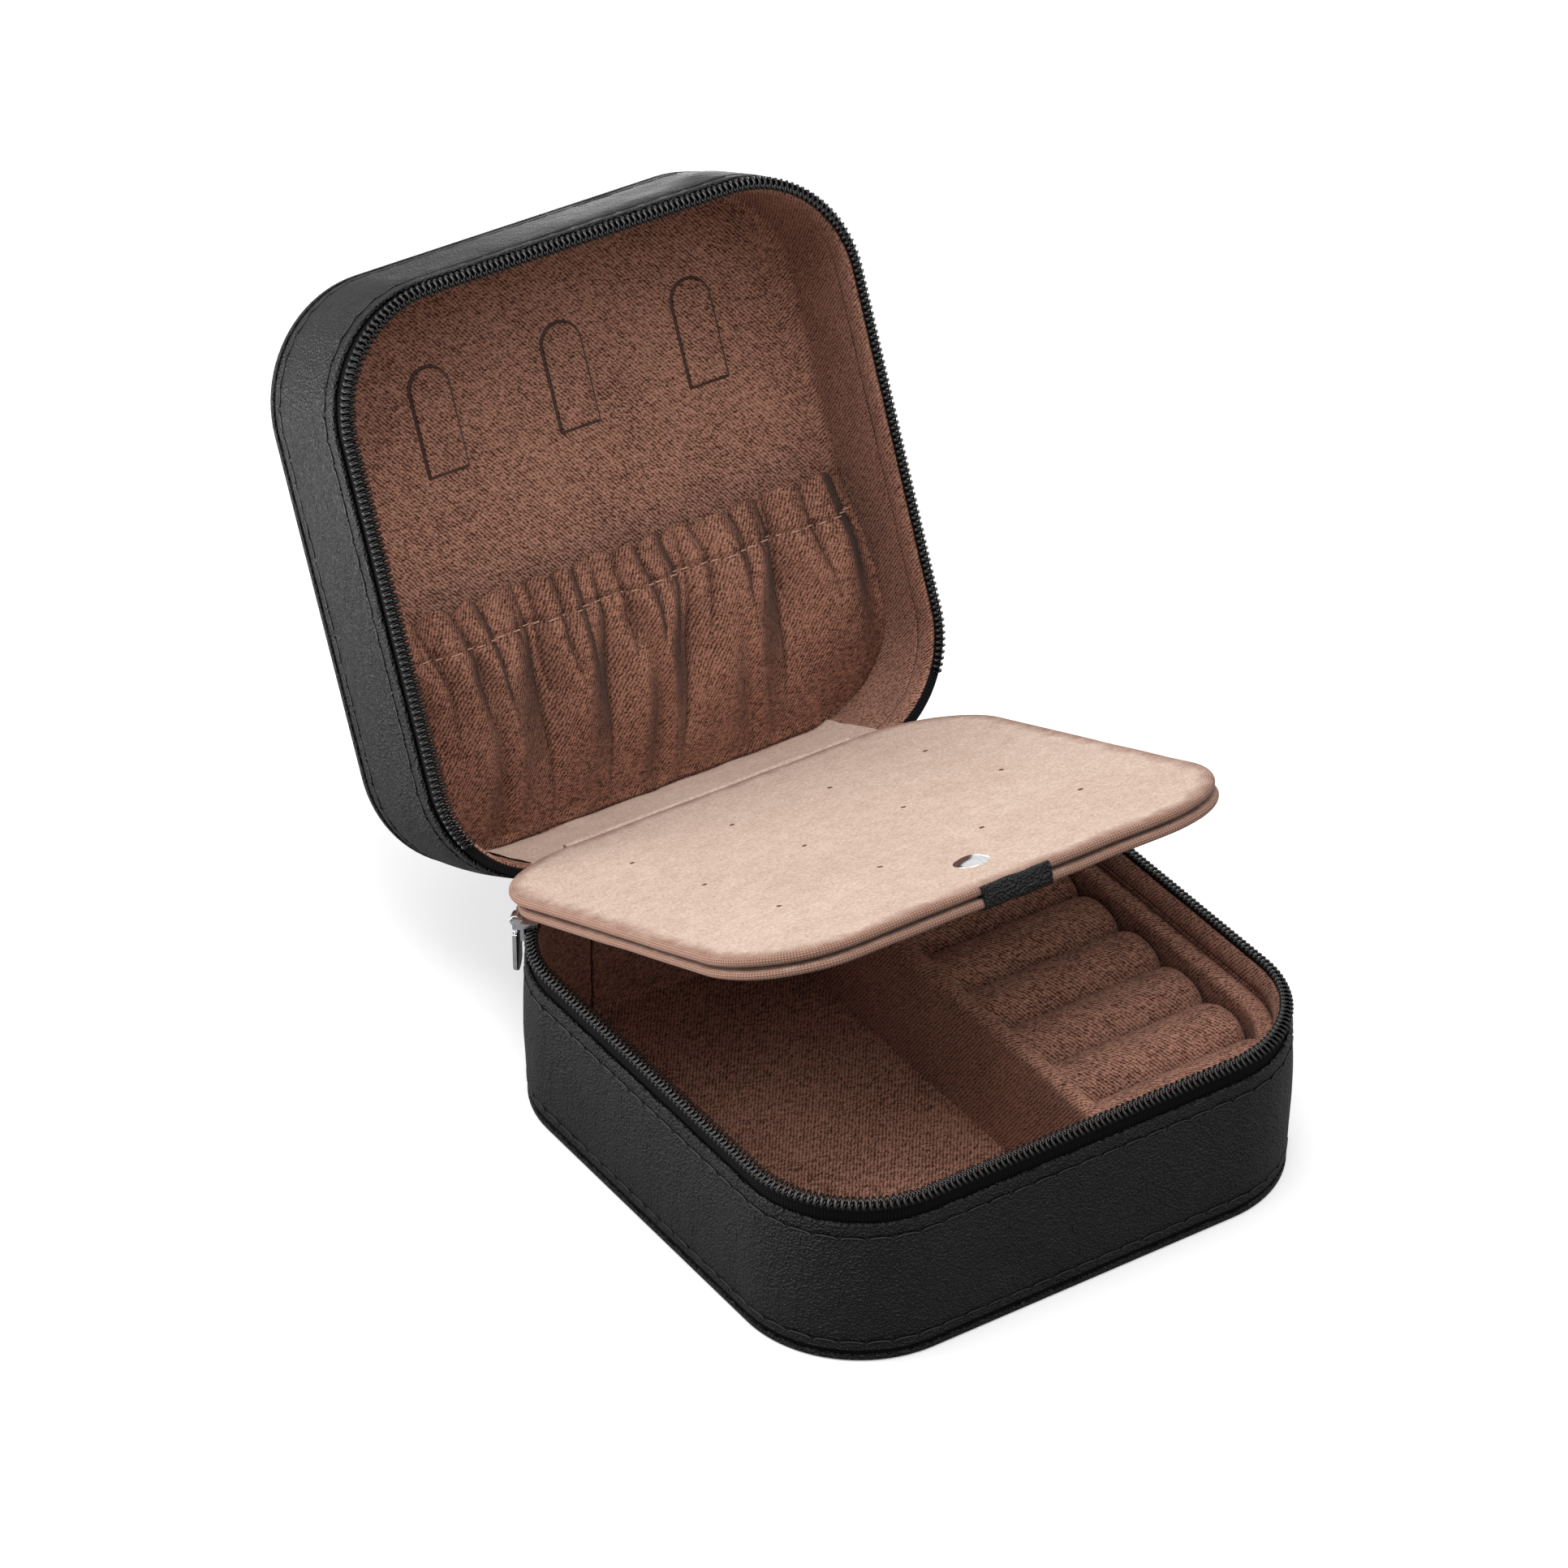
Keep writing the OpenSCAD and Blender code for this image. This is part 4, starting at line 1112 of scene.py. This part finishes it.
def board(name, back, front, bottom, top, crown, seed):
    """One board of the flap in its cloth."""
    half_d = (front - back) / 2
    rows = pad_rows(bottom, top, (top - bottom) / 2, half_d, crown)
    return plate(name, FLAP_HALF, half_d, FLAP_R, rows, BEIGE, IN_FLAP, centre=(0, -(back + front) / 2),
                 uneven=lambda x, y: ripple(x, y, seed, (13, 24, 41), 0.05), wrapped=True)


def hole_cutters():
    """Slightly torn upright rods for piercing the earring holes, as one mesh."""
    rng = np.random.default_rng(103)
    sides = 12
    points, faces = [], []
    for k, (x, y) in enumerate(HOLES):
        shape = HOLE_D / 2 * rng.uniform(0.72, 1.18, sides)
        dx, dy = rng.uniform(-0.15, 0.15, 2)
        for z in (-3, 3):
            points += [(x + dx + r * math.cos(a), y + dy + r * math.sin(a), z) for a, r in zip(full_turn(sides), shape)]
        low = 2 * sides * k + np.arange(sides)
        faces += np.stack([low, np.roll(low, -1), np.roll(low, -1) + sides, low + sides], 1).tolist()
        faces += [low[::-1].tolist(), (low + sides).tolist()]
    return make_piece("hole_cutters", points, faces, BEIGE, IN_FLAP, smooth=False)


def pierce(piece, cutters):
    """Cuts the holes and keeps the face round them flat."""
    cut = piece.modifiers.new("holes", "BOOLEAN")
    cut.object, cut.operation, cut.solver = cutters, "DIFFERENCE", "EXACT"
    bpy.context.view_layer.update()
    pierced = bpy.data.meshes.new_from_object(piece.evaluated_get(bpy.context.evaluated_depsgraph_get()))
    piece.modifiers.clear()
    piece.data = pierced
    pierced.set_sharp_from_angle(angle=math.radians(35))
    bpy.data.objects.remove(cutters)


earring_board = board("earring_board", FLAP_BACK, FLAP_FRONT, -0.8, 0.8, 0.12, 101)
pierce(earring_board, hole_cutters())
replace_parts(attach(earring_board, "earring_board"), "earring_board_cover", "earring_board_core")

backing_board = board("backing_board", 3.0, FLAP_FRONT + 0.35, -2.8, -1.4, 0.0, 102)
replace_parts(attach(backing_board, "backing_board"), "backing_board_cover", "backing_board_core")


def turned(name, profile, centre, finish, place):
    """A turned part from (radius, height) points, starting and ending on its axis."""
    count = 48
    turn = full_turn(count)
    body = np.array(profile[1:-1], float)
    grid = np.zeros((count, len(body), 3))
    grid[..., 0] = centre[0] + np.cos(turn)[:, None] * body[None, :, 0]
    grid[..., 1] = centre[1] + np.sin(turn)[:, None] * body[None, :, 0]
    grid[..., 2] = body[None, :, 1]
    points, faces = closed_at_poles(grid, (*centre, profile[0][1]), (*centre, profile[-1][1]))
    return make_piece(name, points, faces, finish, place)


def dome(radius, base, rise):
    """Profile of a shallow dome from its rim to its top."""
    bow = (radius ** 2 + rise ** 2) / (2 * rise)
    reach = math.asin(radius / bow)
    return [(bow * math.sin(a), base + rise - bow + bow * math.cos(a)) for a in np.linspace(reach, 0, 9)]


SNAP_RIM = [(0, 0.7), (2.95, 0.7), (3.0, 0.82), (2.98, 0.9), (2.86, 0.97)]
snap_dome = turned("snap_dome", SNAP_RIM + dome(2.78, 0.98, 0.78), (0, SNAP_Y), METAL, IN_FLAP)
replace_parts(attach(snap_dome, "earring_board"), "snap_cap")


def ribbon(name, path, thickness, half_w, finish, place, seed):
    """A strip of constant thickness across X, following a path of (y, height) points."""
    count = 28
    path = np.asarray(path, float)
    fine = np.linspace(0, 1, 70)
    along = running(path) / running(path)[-1]
    centre = np.stack([np.interp(fine, along, path[:, k]) for k in (0, 1)], -1)
    for _ in range(6):
        centre[1:-1] = (centre[:-2] + 2 * centre[1:-1] + centre[2:]) / 4
    way = np.gradient(centre, axis=0)
    way /= np.linalg.norm(way, axis=1, keepdims=True)
    normal = np.stack([-way[:, 1], way[:, 0]], -1)
    loop = np.concatenate([centre + normal * thickness / 2, (centre - normal * thickness / 2)[::-1]])
    x = np.linspace(-half_w, half_w, count)
    grid = np.zeros((count, len(loop), 3))
    grid[..., 0] = x[:, None]
    grid[..., 1:] = loop[None]
    grid[..., 2] += ripple(grid[..., 0], grid[..., 1] * 2, seed, (4, 7, 12), 0.07)
    points = grid.reshape(-1, 3)
    m = len(loop)
    faces = [list(q) for q in grid_faces(count, m, False, True)[0]]
    faces += [list(range(m))[::-1], [(count - 1) * m + k for k in range(m)]]
    v = running(np.concatenate([loop, loop[:1]]))
    u = np.concatenate([[0], np.cumsum(np.diff(x))])
    uv = [np.array([(u[f[0] // m], v[f[0] % m]), (u[f[1] // m], v[f[1] % m]), (u[f[2] // m], v[f[2] % m or m]),
                    (u[f[3] // m], v[f[3] % m or m])]) for f in faces[:-2]]
    uv += [loop[::-1], loop]
    return make_piece(name, points, faces, finish, place, uv)


LOOP_PATH = [(-88.9, -1.12), (-92.6, -1.1), (-93.1, -0.7), (-93.2, 0.1), (-93.35, 0.66), (-93.65, 0.8), (-93.92, 0.5),
             (-94.0, -0.4), (-93.98, -1.7), (-93.85, -2.6), (-93.5, -3.08), (-92.9, -3.16), (-88.9, -3.16)]
tab_loop = ribbon("pull_loop", LOOP_PATH, 0.4, 6.4, LEATHER, IN_FLAP, 111)
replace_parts(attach(tab_loop, "backing_board"), "pull_tab")


def softened(name, node, width, finish):
    """A copy of a metal part with its edges rounded over."""
    shape = bmesh.new()
    shape.from_mesh(bpy.data.objects[node].data)
    bmesh.ops.remove_doubles(shape, verts=shape.verts, dist=1e-6)
    bmesh.ops.dissolve_limit(shape, angle_limit=math.radians(4), verts=shape.verts, edges=shape.edges)
    edges = [e for e in shape.edges if len(e.link_faces) == 2 and e.calc_face_angle() > math.radians(35)]
    bmesh.ops.bevel(shape, geom=edges, offset=width * MM, segments=2, profile=0.6, affect="EDGES", clamp_overlap=True)
    mesh = bpy.data.meshes.new(name)
    shape.to_mesh(mesh)
    shape.free()
    mesh.materials.clear()
    mesh.materials.append(finish)
    mesh.polygons.foreach_set("material_index", np.zeros(len(mesh.polygons), np.int32))
    mesh.polygons.foreach_set("use_smooth", [True] * len(mesh.polygons))
    mesh.set_sharp_from_angle(angle=math.radians(50))
    return new_piece(name, mesh)


slider_body = softened("slider_body", "zipper_slider", 0.12, METAL)
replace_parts(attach(slider_body, "slider"), "zipper_slider")
pull_plate = softened("pull_plate", "zipper_pull", 0.15, METAL)
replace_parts(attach(pull_plate, "pull"), "zipper_pull")

# ---- finishes on the parts kept as they are ----


def dress(finish, *names):
    """Gives parts their finish in place of the plain one."""
    for name in names:
        slots = bpy.data.objects[name].material_slots
        for slot in slots:
            slot.material = finish
        if not slots:
            bpy.data.objects[name].data.materials.append(finish)


dress(LEATHER, "base_bottom_leather", "lid_top_leather")
dress(TAPE, "base_welt", "lid_welt")
dress(BOARD, "base_bottom_board", "base_side_core", "lid_top_board", "lid_side_core")
dress(BEIGE_PLAIN, "flap_hinge_band", "flap_hinge_strip")
dress(METAL, "snap_socket", "snap_stud")

# ---- stage, light and camera ----


def pale_floor():
    """Floor that keeps the soft shadow near the box and looks white to the camera further away."""
    mat = bpy.data.materials.new("stage_floor")
    mat.use_nodes = True
    put = node_putter(mat.node_tree)
    where = put("ShaderNodeTexCoord").outputs["Object"]
    away = put("ShaderNodeVectorMath", {0: where}, operation="LENGTH").outputs["Value"]
    glow = put("ShaderNodeMapRange", {"Value": away, "From Min": 0.25, "From Max": 0.7, "To Min": 0.36, "To Max": 1.0})
    sheet, plain = (put("ShaderNodeBsdfDiffuse", {0: (grey, grey, grey, 1)}) for grey in (0.8, 0.25))
    shine = put("ShaderNodeEmission", {0: (1, 1, 1, 1), 1: glow.outputs["Result"]})
    both = put("ShaderNodeAddShader", {0: sheet.outputs[0], 1: shine.outputs[0]})
    eye = put("ShaderNodeLightPath").outputs["Is Camera Ray"]
    seen = put("ShaderNodeMixShader", {0: eye, 1: plain.outputs[0], 2: both.outputs[0]})
    put("ShaderNodeOutputMaterial", {0: seen.outputs[0]})
    return mat


def stage():
    """A wide floor just under the box."""
    mesh = bpy.data.meshes.new("stage_floor")
    r = 6.0
    mesh.from_pydata([(-r, -r, 0), (r, -r, 0), (r, r, 0), (-r, r, 0)], [], [(0, 1, 2, 3)])
    mesh.materials.append(pale_floor())
    floor = put_in_scene("stage_floor", mesh)
    floor.location.z = -0.0001


def soft_light(name, place, target, size, watts, size_y=None):
    """A lamp with a wide face, turned towards its target."""
    lamp = bpy.data.lights.new(name, "AREA")
    lamp.shape, lamp.size, lamp.energy = "RECTANGLE", size, watts
    lamp.size_y = size_y or size
    holder = put_in_scene(name, lamp)
    holder.location = place
    holder.rotation_euler = (Vector(target) - Vector(place)).to_track_quat("-Z", "Y").to_euler()
    return holder


def table_glow(name, place, width, depth, watts):
    """Bright patch of table beside or behind the box, seen only in its shine."""
    soft_light(name, place, (place[0], place[1], 1.0), width, watts, depth).visible_camera = False


def surroundings(strength):
    """Even pale light on the box; the camera, shine and clear surfaces see plain white."""
    world = bpy.data.worlds.new("studio")
    bpy.context.scene.world = world
    world.use_nodes = True
    put = node_putter(world.node_tree)
    ray = put("ShaderNodeLightPath").outputs
    seen = put("ShaderNodeMath", {0: ray["Is Camera Ray"], 1: ray["Is Glossy Ray"]}, operation="MAXIMUM")
    white_to = put("ShaderNodeMath", {0: seen.outputs[0], 1: ray["Is Transmission Ray"]}, operation="MAXIMUM")
    soft, white = (put("ShaderNodeBackground", {0: (1, 1, 1, 1), 1: level}) for level in (strength, 1.0))
    mix = put("ShaderNodeMixShader", {0: white_to.outputs[0], 1: soft.outputs[0], 2: white.outputs[0]})
    put("ShaderNodeOutputWorld", {0: mix.outputs[0]})


def camera():
    """Long lens from the front left, looking down into the open box."""
    image, focal, middle = 1932, 8558.41, (944.22, 1027.18)  # in pixels of the whole frame
    yaw, pitch, roll = math.radians(33.471), math.radians(35.404), math.radians(-0.07)
    look = Vector((math.sin(yaw) * math.cos(pitch), math.cos(yaw) * math.cos(pitch), -math.sin(pitch)))
    right = look.cross(Vector((0, 0, 1))).normalized()
    up = right.cross(look)
    right, up = (math.cos(roll) * right + math.sin(roll) * up, -math.sin(roll) * right + math.cos(roll) * up)
    lens = bpy.data.cameras.new("camera")
    lens.sensor_width, lens.sensor_fit, lens.lens = 36.0, "HORIZONTAL", focal * 36 / image
    lens.shift_x, lens.shift_y = 0.5 - middle[0] / image, middle[1] / image - 0.5
    lens.clip_start, lens.clip_end = 0.05, 20
    holder = put_in_scene("camera", lens)
    place = Matrix.Translation((-0.51117, -0.73259, 0.69148))
    holder.matrix_world = place @ Matrix((right, up, -look)).transposed().to_4x4()
    bpy.context.scene.camera = holder


stage()
surroundings(0.48)
soft_light("overhead", (-0.15, -0.05, 1.3), (0, 0, 0.05), 0.8, 8.6)
soft_light("left_back", (-0.75, 0.6, 0.8), (0, 0, 0.05), 0.5, 6)
soft_light("front_fill", (-0.2, -0.85, 1.4), (0, 0, 0.06), 0.9, 5.4)
for name, x, y, width, depth, watts in (("left", -0.22, 0.2, 0.18, 0.36, 1.8),
                                        ("far_left", -0.6, 0.45, 0.35, 0.5, 2.4), ("right", 0.3, 0.25, 0.3, 0.4, 1.3)):
    table_glow(f"table_glow_{name}", (x, y, 0.002), width, depth, watts)
camera()
bpy.context.scene.view_settings.view_transform = "Standard"
